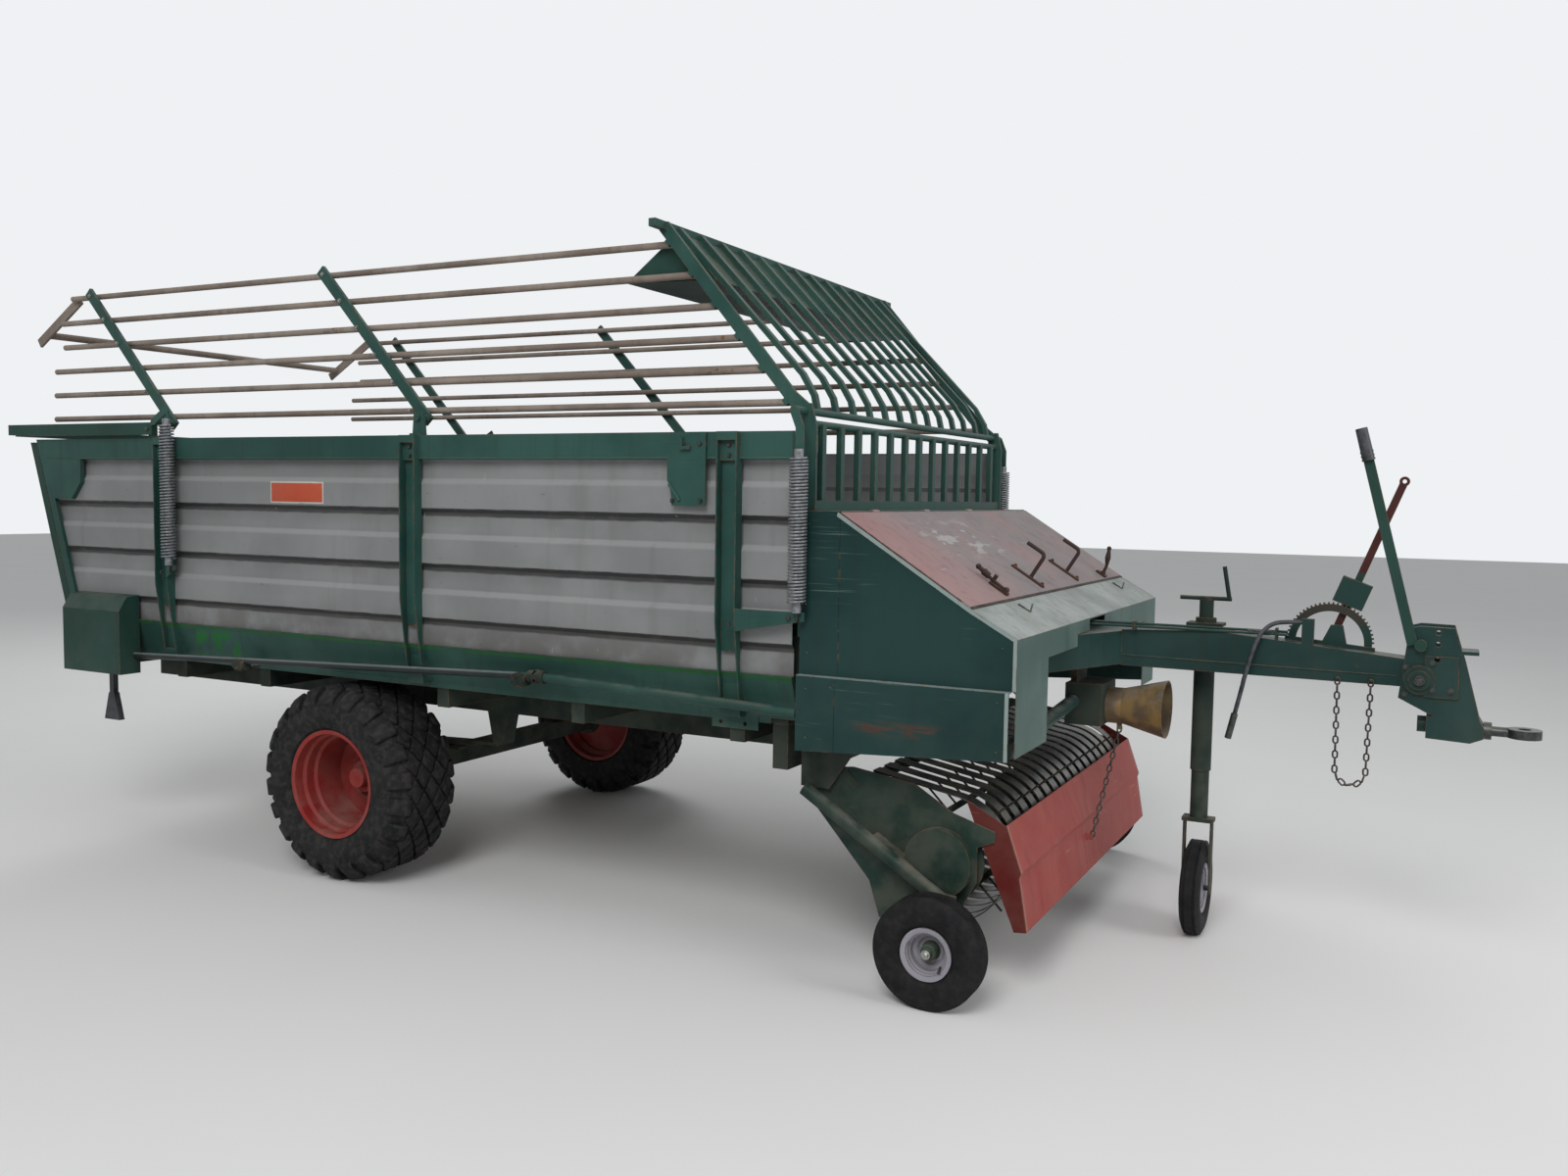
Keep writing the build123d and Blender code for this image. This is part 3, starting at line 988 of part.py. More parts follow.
main_frame()
load_floor()
scraper_floor()
side_wall()
wall_frame()
lower_grille()
front_frame()
housing()
hood()
feed_channel()
feed_rotor()
wheels()
axle()
drawbar()
jack()
controls()
drive()
rear_flaps()
springs()
roof()
tailgate()
pickup()
tine_reel()
hydraulic_hose()
chains()
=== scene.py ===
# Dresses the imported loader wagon: paint, rust, dust and rubber finishes for every CAD piece, and the
# small parts that the solids leave out. Metres, in the wagon's own frame: X to the hitch, Y left, Z up.
import math

import bmesh
import bpy
from bmesh.types import BMEdge, BMVert
from mathutils import Matrix, Vector


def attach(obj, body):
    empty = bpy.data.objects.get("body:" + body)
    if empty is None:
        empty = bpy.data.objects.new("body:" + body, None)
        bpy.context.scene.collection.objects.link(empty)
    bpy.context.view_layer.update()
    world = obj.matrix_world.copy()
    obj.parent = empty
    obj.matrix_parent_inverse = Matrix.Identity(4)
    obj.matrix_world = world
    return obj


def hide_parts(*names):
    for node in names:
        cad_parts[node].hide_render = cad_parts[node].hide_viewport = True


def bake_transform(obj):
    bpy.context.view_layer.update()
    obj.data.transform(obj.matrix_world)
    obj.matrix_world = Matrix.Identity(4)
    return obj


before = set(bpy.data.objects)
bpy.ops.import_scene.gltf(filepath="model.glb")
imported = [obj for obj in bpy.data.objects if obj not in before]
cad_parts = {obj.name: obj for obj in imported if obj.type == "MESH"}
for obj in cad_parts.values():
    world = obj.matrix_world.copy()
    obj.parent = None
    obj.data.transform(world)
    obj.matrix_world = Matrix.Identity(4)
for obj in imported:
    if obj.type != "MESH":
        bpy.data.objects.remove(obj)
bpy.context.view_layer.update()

AXLE_X = -1.1275                    # the main axle, from the middle of the machine
SIDES = (("right", -1), ("left", 1))

# Every X below is metres ahead of the main axle, and every OUT metres from the wagon's centre plane.
WHEEL_RADIUS, WHEEL_WIDTH, WHEEL_OUT = 0.420, 0.380, 0.937
GAUGE_RADIUS, GAUGE_X, GAUGE_OUT = 0.188, 2.700, 1.100
JACK_RADIUS, JACK_X, JACK_OUT = 0.180, 3.335, 0.105
RIDGE_FEET = (1.588, 1.366, 1.146)              # lower edges of the pressed ridges in the side walls
RIDGE_TOPS = (1.704, 1.482, 1.260)              # tops of the pressed ridges, where a paler strip is painted as a highlight
POSTS = (-1.075, 0.425, 1.905)                  # X of the wall posts
PLATE_X, PLATE_Z = -0.241, 1.648                # middle of the red name plate
SHAFT_OUT = 1.072                               # the side shaft, on the right only
ARM_OUT, ARM_PIVOT_Z = 1.0011, 1.955            # the hay frame arms' outer face, and their pivots
ARM_PIVOTS = {"arms_middle": 0.450, "arms_rear": -1.092}
LATCHES = (-0.632, 0.774)                       # Y of the lid's latches: the right lies, the left is open
SPRING_OUT = 1.105
# The balance springs: X, lower and upper end, the body that the upper end rides on, the CAD node.
SPRINGS = {"rear_spring": (-0.995, 1.310, 1.970, "arms_rear", "springs_rear"),
           "front_spring": (2.196, 1.270, 1.822, "roof_front", "springs_front")}


def at(distance):
    """X of a point this many metres ahead of the main axle."""
    return AXLE_X + distance


# Camera, lamps and floor

def link_up(made):
    bpy.context.collection.objects.link(made)
    return made


def photograph_camera():
    """The camera where the photograph was taken: turned 27.5 degrees left of straight across the wagon."""
    yaw, pitch, roll = -0.4792, -0.0718, 0.0150
    place = (3.0085, -4.9323, 1.6625)
    ahead = Vector((math.sin(yaw) * math.cos(pitch), math.cos(yaw) * math.cos(pitch), math.sin(pitch)))
    right = Vector((math.cos(yaw), -math.sin(yaw), 0))
    up = right.cross(ahead)
    tilted_right = math.cos(roll) * right + math.sin(roll) * up
    tilted_up = -math.sin(roll) * right + math.cos(roll) * up
    lens = bpy.data.cameras.new("photograph")
    lens.sensor_width, lens.lens = 36.0, 29.25
    lens.clip_end = 200
    camera = link_up(bpy.data.objects.new("photograph", lens))
    turn = Matrix((tilted_right, tilted_up, -ahead)).transposed().to_4x4()
    camera.matrix_world = Matrix.Translation(place) @ turn
    bpy.context.scene.camera = camera


def lamp(name, place, aim, size, watts):
    light = bpy.data.lights.new(name, "AREA")
    light.shape, light.size, light.energy = "DISK", size, watts
    holder = link_up(bpy.data.objects.new(name, light))
    holder.location = place
    holder.rotation_euler = (Vector(aim) - Vector(place)).to_track_quat("-Z", "Y").to_euler()


def studio():
    """Three soft lamps, a pale floor, and a sky that looks paler than the light it gives."""
    lamp("key_lamp", (2.5, -8.0, 7.5), (-0.4, 0.0, 1.0), 5.0, 520)
    lamp("front_lamp", (9.0, -1.5, 4.0), (1.5, 0.0, 1.0), 4.0, 210)
    lamp("back_lamp", (-6.0, 7.0, 6.5), (-0.5, 0.0, 1.2), 5.0, 260)
    sky_light, sky_seen = 0.40, 0.90
    floor_reach = 40
    world = bpy.data.worlds.new("studio")
    bpy.context.scene.world = world
    world.use_nodes = True
    tree = world.node_tree
    sky = tree.nodes["Background"]
    rays = tree.nodes.new("ShaderNodeLightPath").outputs
    seen = any_of(tree, rays["Is Camera Ray"], rays["Is Glossy Ray"], rays["Is Transmission Ray"])
    level = tree.nodes.new("ShaderNodeMapRange")
    tree.links.new(seen, level.inputs["Value"])
    level.inputs["To Min"].default_value = sky_light
    level.inputs["To Max"].default_value = sky_seen
    tree.links.new(level.outputs["Result"], sky.inputs["Strength"])
    sky.inputs["Color"].default_value = (0.96, 0.98, 1.0, 1)
    shape = bmesh.new()
    bmesh.ops.create_grid(shape, x_segments=1, y_segments=1, size=floor_reach)
    floor = finish_mesh("studio_floor", shape)
    floor.data.materials.append(FINISHES["floor_finish"])


# Shader building blocks

def feed(tree, value, socket):
    """Joins a socket or sets a plain value."""
    if isinstance(value, bpy.types.NodeSocket):
        tree.links.new(value, socket)
    elif isinstance(value, tuple) and len(value) == 3 and socket.type == "RGBA":
        socket.default_value = (*value, 1)
    else:
        socket.default_value = value


def maths(tree, operation, a, b=0.0, clamp=False):
    step = tree.nodes.new("ShaderNodeMath")
    step.operation, step.use_clamp = operation, clamp
    feed(tree, a, step.inputs[0])
    feed(tree, b, step.inputs[1])
    return step.outputs[0]


def plus(tree, a, b):
    return maths(tree, "ADD", a, b)


def times(tree, first, *others):
    """The product of masks and numbers."""
    for other in others:
        first = maths(tree, "MULTIPLY", first, other)
    return first


def any_of(tree, first, *others):
    """Mask of where at least one of several masks holds."""
    for other in others:
        first = maths(tree, "MAXIMUM", first, other)
    return first


def mix(tree, share, a, b):
    """The colour that lies this share of the way from a to b."""
    factor, colour_a, colour_b, result = 0, 6, 7, 2         # places of a Mix node's colour sockets
    step = tree.nodes.new("ShaderNodeMix")
    step.data_type = "RGBA"
    feed(tree, share, step.inputs[factor])
    feed(tree, a, step.inputs[colour_a])
    feed(tree, b, step.inputs[colour_b])
    return step.outputs[result]


def stain(tree, colour, mask, tint, share=1.0):
    """Brings a colour near a tint where the mask holds, by the given share at most."""
    return mix(tree, times(tree, mask, share) if share < 1 else mask, colour, tint)


def spread(tree, value, low, high, start=0.0, end=1.0):
    """Maps a value from low..high onto start..end, held at both ends."""
    step = tree.nodes.new("ShaderNodeMapRange")
    step.interpolation_type = "SMOOTHSTEP"
    for name, number in (("Value", value), ("From Min", low), ("From Max", high), ("To Min", start),
                         ("To Max", end)):
        feed(tree, number, step.inputs[name])
    return step.outputs["Result"]


def place_of(tree, stretch=(1, 1, 1), shift=(0, 0, 0)):
    where = tree.nodes.new("ShaderNodeTexCoord")
    fit = tree.nodes.new("ShaderNodeMapping")
    fit.inputs["Scale"].default_value = stretch
    fit.inputs["Location"].default_value = shift
    tree.links.new(where.outputs["Object"], fit.inputs["Vector"])
    return fit.outputs[0]


def cloud(tree, size, detail=3.0, stretch=(1, 1, 1), shift=(0, 0, 0), rough=0.55):
    """Noise whose patches are about 1/size metres across."""
    step = tree.nodes.new("ShaderNodeTexNoise")
    tree.links.new(place_of(tree, stretch, shift), step.inputs["Vector"])
    feed(tree, size, step.inputs["Scale"])
    step.inputs["Detail"].default_value = detail
    step.inputs["Roughness"].default_value = rough
    return step.outputs["Fac"]


def blotches(tree, low, high, *size_and_detail, **shape):
    """Mask made of noise: none of it shows where the noise is low, all of it where the noise is high."""
    return spread(tree, cloud(tree, *size_and_detail, **shape), low, high)


def coordinate(tree, axis):
    split = tree.nodes.new("ShaderNodeSeparateXYZ")
    tree.links.new(place_of(tree), split.inputs[0])
    return split.outputs[axis]


def facing_up(tree):
    """The upward share of the surface's normal."""
    shape = tree.nodes.new("ShaderNodeNewGeometry")
    split = tree.nodes.new("ShaderNodeSeparateXYZ")
    tree.links.new(shape.outputs["Normal"], split.inputs[0])
    return split.outputs["Z"]


def within(tree, axis, low, high, edge=0.002):
    """Mask of the points whose coordinate lies between two values."""
    value = coordinate(tree, axis)
    return times(tree, spread(tree, value, low - edge, low + edge),
                 spread(tree, value, high + edge, high - edge))


def beyond(tree, reach, edge=0.001):
    """Mask of the points further than this from the wagon's centre plane, on either side."""
    out = maths(tree, "ABSOLUTE", coordinate(tree, "Y"))
    return spread(tree, out, reach - edge, reach + edge)


def right_side(tree):
    return maths(tree, "LESS_THAN", coordinate(tree, "Y"), 0.0)


def new_group(name, given, results):
    """A node group with float inputs, as names with their defaults, and float outputs."""
    tree = bpy.data.node_groups.new(name, "ShaderNodeTree")
    for label, value in given.items():
        made = tree.interface.new_socket(name=label, in_out="INPUT", socket_type="NodeSocketFloat")
        made.default_value = value
    for label in results:
        tree.interface.new_socket(name=label, in_out="OUTPUT", socket_type="NodeSocketFloat")
    return tree, tree.nodes.new("NodeGroupInput").outputs, tree.nodes.new("NodeGroupOutput").inputs


def make_edge_wear():
    """Mask of rubbed and rusting edges: where the surface bends within millimetres, broken by noise."""
    tree, given, result = new_group("edge_wear", {"Width": 0.004, "Amount": 0.5}, ["Mask"])
    rounded = tree.nodes.new("ShaderNodeBevel")
    rounded.samples = 4
    tree.links.new(given["Width"], rounded.inputs["Radius"])
    shape = tree.nodes.new("ShaderNodeNewGeometry")
    turn = tree.nodes.new("ShaderNodeVectorMath")
    turn.operation = "DOT_PRODUCT"
    tree.links.new(rounded.outputs[0], turn.inputs[0])
    tree.links.new(shape.outputs["Normal"], turn.inputs[1])
    bend = spread(tree, turn.outputs["Value"], 0.995, 0.90)
    broken = plus(tree, cloud(tree, 22.0, 5.0), times(tree, bend, 0.30))
    limit = maths(tree, "SUBTRACT", 0.86, times(tree, given["Amount"], 0.22))
    mask = times(tree, bend, spread(tree, broken, limit, plus(tree, limit, 0.08)))
    tree.links.new(mask, result["Mask"])


def make_weather():
    """Masks of years outdoors: sun-faded patches, rain streaks, rust blooms, settled dust and scratches."""
    tree, given, result = new_group("weather", {"Rust": 0.3, "Dust": 0.3},
                                    ["Fade", "Streak", "Rust", "Dust", "Scratch"])
    tree.links.new(blotches(tree, 0.34, 0.68, 2.3, 4.0), result["Fade"])
    runs = cloud(tree, 1.0, 3.0, (26, 26, 1.1))
    tree.links.new(spread(tree, runs, 0.50, 0.72), result["Streak"])
    large, small = cloud(tree, 5.5, 8.0, rough=0.68), cloud(tree, 55.0, 4.0, shift=(3, 1, 2))
    blooms = plus(tree, times(tree, large, 0.75), times(tree, small, 0.25))
    limit = maths(tree, "SUBTRACT", 0.74, times(tree, given["Rust"], 0.30))
    tree.links.new(spread(tree, blooms, limit, plus(tree, limit, 0.07)), result["Rust"])
    low = spread(tree, coordinate(tree, "Z"), 1.3, 0.1)
    top = spread(tree, facing_up(tree), 0.25, 0.95)
    lying = plus(tree, times(tree, low, 0.45), times(tree, top, 0.75))
    patchy = times(tree, lying, blotches(tree, 0.30, 0.66, 9.0, 6.0, shift=(7, 0, 0)))
    tree.links.new(maths(tree, "MULTIPLY", patchy, given["Dust"], clamp=True), result["Dust"])
    lines = cloud(tree, 1.0, 2.0, (3.0, 3.0, 190.0), (0.3, 0.8, 0.1))
    rare = blotches(tree, 0.52, 0.66, 4.0, 2.0, shift=(2, 5, 1))
    tree.links.new(times(tree, spread(tree, lines, 0.63, 0.70), rare), result["Scratch"])


def make_grain():
    """Small-scale height: orange peel in paint or pits in castings, over shallow dents."""
    tree, given, result = new_group("grain", {"Scale": 300.0, "Dents": 0.2}, ["Height"])
    fine = cloud(tree, given["Scale"], 3.0, rough=0.5)
    dents = times(tree, cloud(tree, 3.2, 1.5, shift=(1, 1, 4)), given["Dents"])
    tree.links.new(plus(tree, times(tree, fine, 0.02), dents), result["Height"])


def use_group(tree, name, **values):
    step = tree.nodes.new("ShaderNodeGroup")
    step.node_tree = bpy.data.node_groups[name]
    for key, value in values.items():
        step.inputs[key.capitalize()].default_value = value
    return step.outputs


# Finishes

FINISHES = {}
RUST_DARK = (0.060, 0.026, 0.014)
RUST_LIGHT = (0.200, 0.085, 0.038)
DUST = (0.34, 0.30, 0.24)
WET_GRIME = (0.02, 0.02, 0.018)


def new_finish(name):
    made = bpy.data.materials.new(name)
    made.use_nodes = True
    FINISHES[name] = made
    return made.node_tree, made.node_tree.nodes["Principled BSDF"]


def cover(tree, shader, colour, roughness, height, strength, distance, sheen=0.5):
    """Joins a finish to its shader: colour, roughness, sheen, and height that a bump node raises."""
    tree.links.new(colour, shader.inputs["Base Color"])
    feed(tree, roughness, shader.inputs["Roughness"])
    shader.inputs["Specular IOR Level"].default_value = sheen
    bump = tree.nodes.new("ShaderNodeBump")
    bump.inputs["Strength"].default_value = strength
    bump.inputs["Distance"].default_value = distance
    tree.links.new(height, bump.inputs["Height"])
    tree.links.new(bump.outputs[0], shader.inputs["Normal"])


def rust_colour(tree):
    return mix(tree, blotches(tree, 0.35, 0.65, 40.0, 5.0), RUST_DARK, RUST_LIGHT)


def painted(name, fresh, faded, rust, dust, wear, streaks, rough=0.42, chip=None, also=None):
    """Old sprayed paint between fresh and faded, with dark runs, rust at edges and in blooms, dust on top.
    also(tree, colour) may repaint some places before the weather gets at them."""
    tree, shader = new_finish(name)
    weather = use_group(tree, "weather", rust=rust, dust=dust)
    edges = use_group(tree, "edge_wear", width=0.004, amount=wear)
    colour = mix(tree, weather["Fade"], fresh, faded)
    if also:
        colour = also(tree, colour)
    colour = stain(tree, colour, weather["Streak"], mix(tree, 0.55, colour, WET_GRIME), streaks)
    colour = stain(tree, colour, weather["Scratch"], chip or faded, 0.7)
    rusted = any_of(tree, weather["Rust"], edges["Mask"])
    colour = stain(tree, colour, rusted, rust_colour(tree))
    colour = stain(tree, colour, weather["Dust"], DUST)
    matt = spread(tree, any_of(tree, rusted, weather["Dust"]), 0.0, 1.0, rough, 0.88)
    vary = plus(tree, matt, times(tree, weather["Fade"], 0.12))
    grain = use_group(tree, "grain", scale=260.0, dents=0.6)
    height = plus(tree, grain["Height"], times(tree, rusted, 0.10))
    cover(tree, shader, colour, vary, height, 0.5, 0.006, sheen=0.16)


# Paints with no special places: fresh and faded colour, rust, dust, wear at edges, streaks, roughness.
PLAIN_PAINTS = {
    "dark_green_paint": ((0.010, 0.036, 0.027), (0.020, 0.056, 0.044), 0.18, 0.26, 0.55, 0.40, 0.42),
    "roof_green_paint": ((0.014, 0.050, 0.041), (0.032, 0.082, 0.068), 0.20, 0.30, 0.60, 0.35, 0.42),
    "pickup_green_paint": ((0.008, 0.024, 0.018), (0.016, 0.040, 0.031), 0.30, 0.34, 0.80, 0.45, 0.50),
    "rim_red": ((0.225, 0.016, 0.016), (0.275, 0.034, 0.029), 0.14, 0.30, 0.50, 0.15, 0.40),
    "rod_brown": ((0.165, 0.130, 0.108), (0.285, 0.240, 0.205), 0.42, 0.24, 0.70, 0.35, 0.62),
    "chassis_dark": ((0.010, 0.020, 0.016), (0.025, 0.039, 0.031), 0.42, 0.36, 0.80, 0.30, 0.65),
    "lever_rust": ((0.020, 0.013, 0.013), (0.046, 0.028, 0.025), 0.28, 0.22, 0.90, 0.20, 0.55),
    "plate_red": ((0.420, 0.070, 0.035), (0.470, 0.110, 0.060), 0.00, 0.18, 0.20, 0.10, 0.40),
    "plate_pale": ((0.480, 0.450, 0.400), (0.540, 0.510, 0.470), 0.00, 0.20, 0.10, 0.15, 0.45),
}

# Bare metals: dark and light colour, roughness, how metallic, rust.
METALS = {
    "bare_steel": ((0.20, 0.19, 0.18), (0.36, 0.35, 0.33), 0.40, 0.80, 0.35),
    "greased_steel": ((0.022, 0.026, 0.025), (0.060, 0.066, 0.062), 0.38, 0.55, 0.30),
    "spring_steel": ((0.115, 0.122, 0.130), (0.240, 0.250, 0.262), 0.40, 0.45, 0.20),
    "band_zinc": ((0.045, 0.046, 0.046), (0.115, 0.115, 0.110), 0.36, 0.70, 0.30),
    "chain_rust": ((0.050, 0.040, 0.036), (0.100, 0.080, 0.068), 0.55, 0.50, 0.55),
    "chain_dark": ((0.020, 0.017, 0.016), (0.056, 0.046, 0.041), 0.50, 0.50, 0.30),
    "bright_bolt": ((0.28, 0.28, 0.27), (0.48, 0.48, 0.46), 0.34, 0.85, 0.12),
}


def body_green_paint():
    """The load body's green: brighter where it was touched up along the sill and by the rear post."""
    def touched_up(tree, colour):
        sill_edge = times(tree, within(tree, "Z", 1.023, 1.036, 0.003), beyond(tree, 0.990, 0.004))
        broken = blotches(tree, 0.30, 0.48, 6.0, 4.0, (1, 1, 3))
        colour = stain(tree, colour, times(tree, sill_edge, broken), (0.012, 0.080, 0.022))
        behind_wheel = within(tree, "X", at(-0.93), at(-0.64), 0.03)
        splash = times(tree, behind_wheel, within(tree, "Z", 0.905, 1.01, 0.02))
        drops = blotches(tree, 0.50, 0.58, 13.0, 5.0, (1, 1, 0.6))
        return stain(tree, colour, times(tree, splash, drops, right_side(tree)), (0.010, 0.120, 0.024))
    painted("body_green_paint", (0.014, 0.050, 0.041), (0.030, 0.080, 0.067), 0.16, 0.26, 0.55, 0.4,
            also=touched_up)


def housing_green_paint():
    """Housing sides: bluish green with pale trim strips along slope and front, and a long brown scrape."""
    def trimmed(tree, colour):
        skirt_top, skirt_face, panel_face = 1.0570, 1.0862, 1.0612
        height = coordinate(tree, "Z")
        slope_trim = times(tree, beyond(tree, panel_face), spread(tree, height, skirt_top, 1.060))
        ledge = within(tree, "Z", 1.0545, skirt_top, 0.0008)
        trim = any_of(tree, slope_trim, beyond(tree, skirt_face), times(tree, ledge, 0.8))
        colour = stain(tree, colour, trim, (0.235, 0.290, 0.275))
        scrape = times(tree, within(tree, "X", at(2.43), at(2.72), 0.05),
                       within(tree, "Z", 0.882, 0.922, 0.014))
        torn = blotches(tree, 0.44, 0.54, 9.0, 7.0, (0.8, 1, 4.5), (0, 0, 2))
        return stain(tree, colour, times(tree, scrape, torn, right_side(tree)), (0.062, 0.036, 0.027))
    painted("housing_green_paint", (0.007, 0.029, 0.027), (0.013, 0.042, 0.039), 0.06, 0.16, 0.15, 0.28,
            0.40, (0.10, 0.15, 0.13), trimmed)


def drawbar_green_paint():
    """The drawbar's green, rubbed to grey on top by feet and hands."""
    def rubbed_top(tree, colour):
        top = spread(tree, facing_up(tree), 0.55, 0.95)
        rubbed = times(tree, top, blotches(tree, 0.36, 0.60, 10.0, 6.0, (0.5, 1, 1)))
        return stain(tree, colour, rubbed, (0.105, 0.122, 0.115), 0.8)
    painted("drawbar_green_paint", (0.008, 0.030, 0.026), (0.019, 0.047, 0.042), 0.34, 0.24, 0.9, 0.4,
            also=rubbed_top)


def pale_green_paint():
    """Housing front: dull green where it stands upright; the upward-facing lip painted far paler, partly sun
    bleaching and partly a painted highlight of light from above.
    """
    def bleached(tree, colour):
        # The upward-facing lip gets pale grey-green: sun bleaching, and a painted highlight where light from
        # above falls on it.
        lit_slope = spread(tree, facing_up(tree), 0.35, 0.60)
        patches = blotches(tree, 0.32, 0.66, 5.0, 5.0)
        return mix(tree, lit_slope, colour, mix(tree, patches, (0.225, 0.256, 0.246), (0.335, 0.366, 0.356)))
    painted("pale_green_paint", (0.068, 0.112, 0.100), (0.120, 0.172, 0.158), 0.14, 0.22, 0.7, 0.40, 0.55,
            also=bleached)


def faded_red_lid():
    """The lid: pink at its right end, greyish rose towards the middle, scuffed, a thin black line painted
    along its foot where it meets the lip.
    """
    def bleached(tree, colour):
        from_right = spread(tree, coordinate(tree, "Y"), -1.02, -0.35)
        patchy = blotches(tree, 0.30, 0.62, 3.4, 5.0)
        bleach = times(tree, from_right, spread(tree, patchy, 0.0, 1.0, 0.45, 1.0))
        colour = stain(tree, colour, bleach, (0.232, 0.200, 0.205))
        worn_place = times(tree, within(tree, "X", at(2.40), at(2.58), 0.04),
                           within(tree, "Y", -0.62, 0.06, 0.10))
        scuffs = blotches(tree, 0.545, 0.60, 9.0, 6.0, (2.6, 0.8, 1), (4, 2, 0))
        colour = stain(tree, colour, times(tree, worn_place, scuffs), (0.430, 0.420, 0.420), 0.7)
        # A thin black line is painted along the lid's foot, where it meets the lip.
        black_foot_line = spread(tree, coordinate(tree, "X"), at(2.792), at(2.794))
        return stain(tree, colour, black_foot_line, (0.012, 0.010, 0.010))
    painted("faded_red_lid", (0.285, 0.155, 0.155), (0.335, 0.215, 0.215), 0.10, 0.20, 0.6, 0.35, 0.58,
            (0.42, 0.37, 0.36), bleached)


def wind_guard_red():
    """Bleached red sheet: dark on the end plates, rubbed pale along the rolled ends."""
    def shaded(tree, colour):
        end_plates = beyond(tree, 0.8985)
        colour = stain(tree, colour, end_plates, (0.100, 0.011, 0.009))
        rolled = times(tree, beyond(tree, 0.884, 0.003), maths(tree, "SUBTRACT", 1.0, end_plates))
        return stain(tree, colour, rolled, (0.330, 0.165, 0.130), 0.7)
    painted("wind_guard_red", (0.275, 0.040, 0.034), (0.330, 0.076, 0.066), 0.16, 0.18, 0.8, 0.35, 0.50,
            (0.55, 0.25, 0.20), shaded)


def rim_silver():
    """Gauge and jack wheel rims: lilac silver, and on the gauge wheels a dark green middle."""
    def green_middle(tree, colour):
        where = tree.nodes.new("ShaderNodeVectorMath")
        where.operation = "LENGTH"
        tree.links.new(place_of(tree, (1, 0, 1), (-at(GAUGE_X), 0, -GAUGE_RADIUS)), where.inputs[0])
        near_hub = spread(tree, where.outputs["Value"], 0.034, 0.031)
        gauge_wheels = maths(tree, "LESS_THAN", coordinate(tree, "X"), at(3.0))
        return stain(tree, colour, times(tree, near_hub, gauge_wheels), (0.020, 0.052, 0.036))
    painted("rim_silver", (0.235, 0.230, 0.270), (0.320, 0.312, 0.355), 0.16, 0.24, 0.6, 0.25, 0.36,
            also=green_middle)


def brake_paint():
    """Brake lever: dark red bar, green ratchet box and foot plate, and a dark toothed arc."""
    def parts(tree, colour):
        height, left = coordinate(tree, "Z"), coordinate(tree, "Y")
        box = times(tree, within(tree, "X", at(3.75), at(3.945), 0.004), within(tree, "Z", 1.270, 1.420),
                    spread(tree, left, 0.0185, 0.0195))
        foot = spread(tree, height, 1.236, 1.230)
        arc = times(tree, spread(tree, height, 1.332, 1.330), spread(tree, left, 0.030, 0.028))
        colour = stain(tree, colour, arc, (0.034, 0.034, 0.028))
        return stain(tree, colour, any_of(tree, box, foot), (0.013, 0.040, 0.034))
    painted("brake_paint", (0.036, 0.010, 0.010), (0.066, 0.020, 0.018), 0.36, 0.22, 0.9, 0.2, 0.50,
            also=parts)


def floor_drive_paint():
    """Green front tube; behind the joint the shaft is bare and dark, with a painted highlight along its top.
    """
    def bare_rear(tree, colour):
        rear = spread(tree, coordinate(tree, "X"), at(0.985), at(0.965))
        # The paler colour on the bare shaft's upward faces is a painted highlight.
        painted_top_highlight = spread(tree, facing_up(tree), 0.35, 0.85)
        return mix(tree, rear, colour, mix(tree, painted_top_highlight, (0.016, 0.022, 0.023), (0.135, 0.165, 0.170)))
    painted("floor_drive_paint", (0.013, 0.046, 0.037), (0.026, 0.066, 0.055), 0.16, 0.22, 0.7, 0.35, 0.30,
            also=bare_rear)


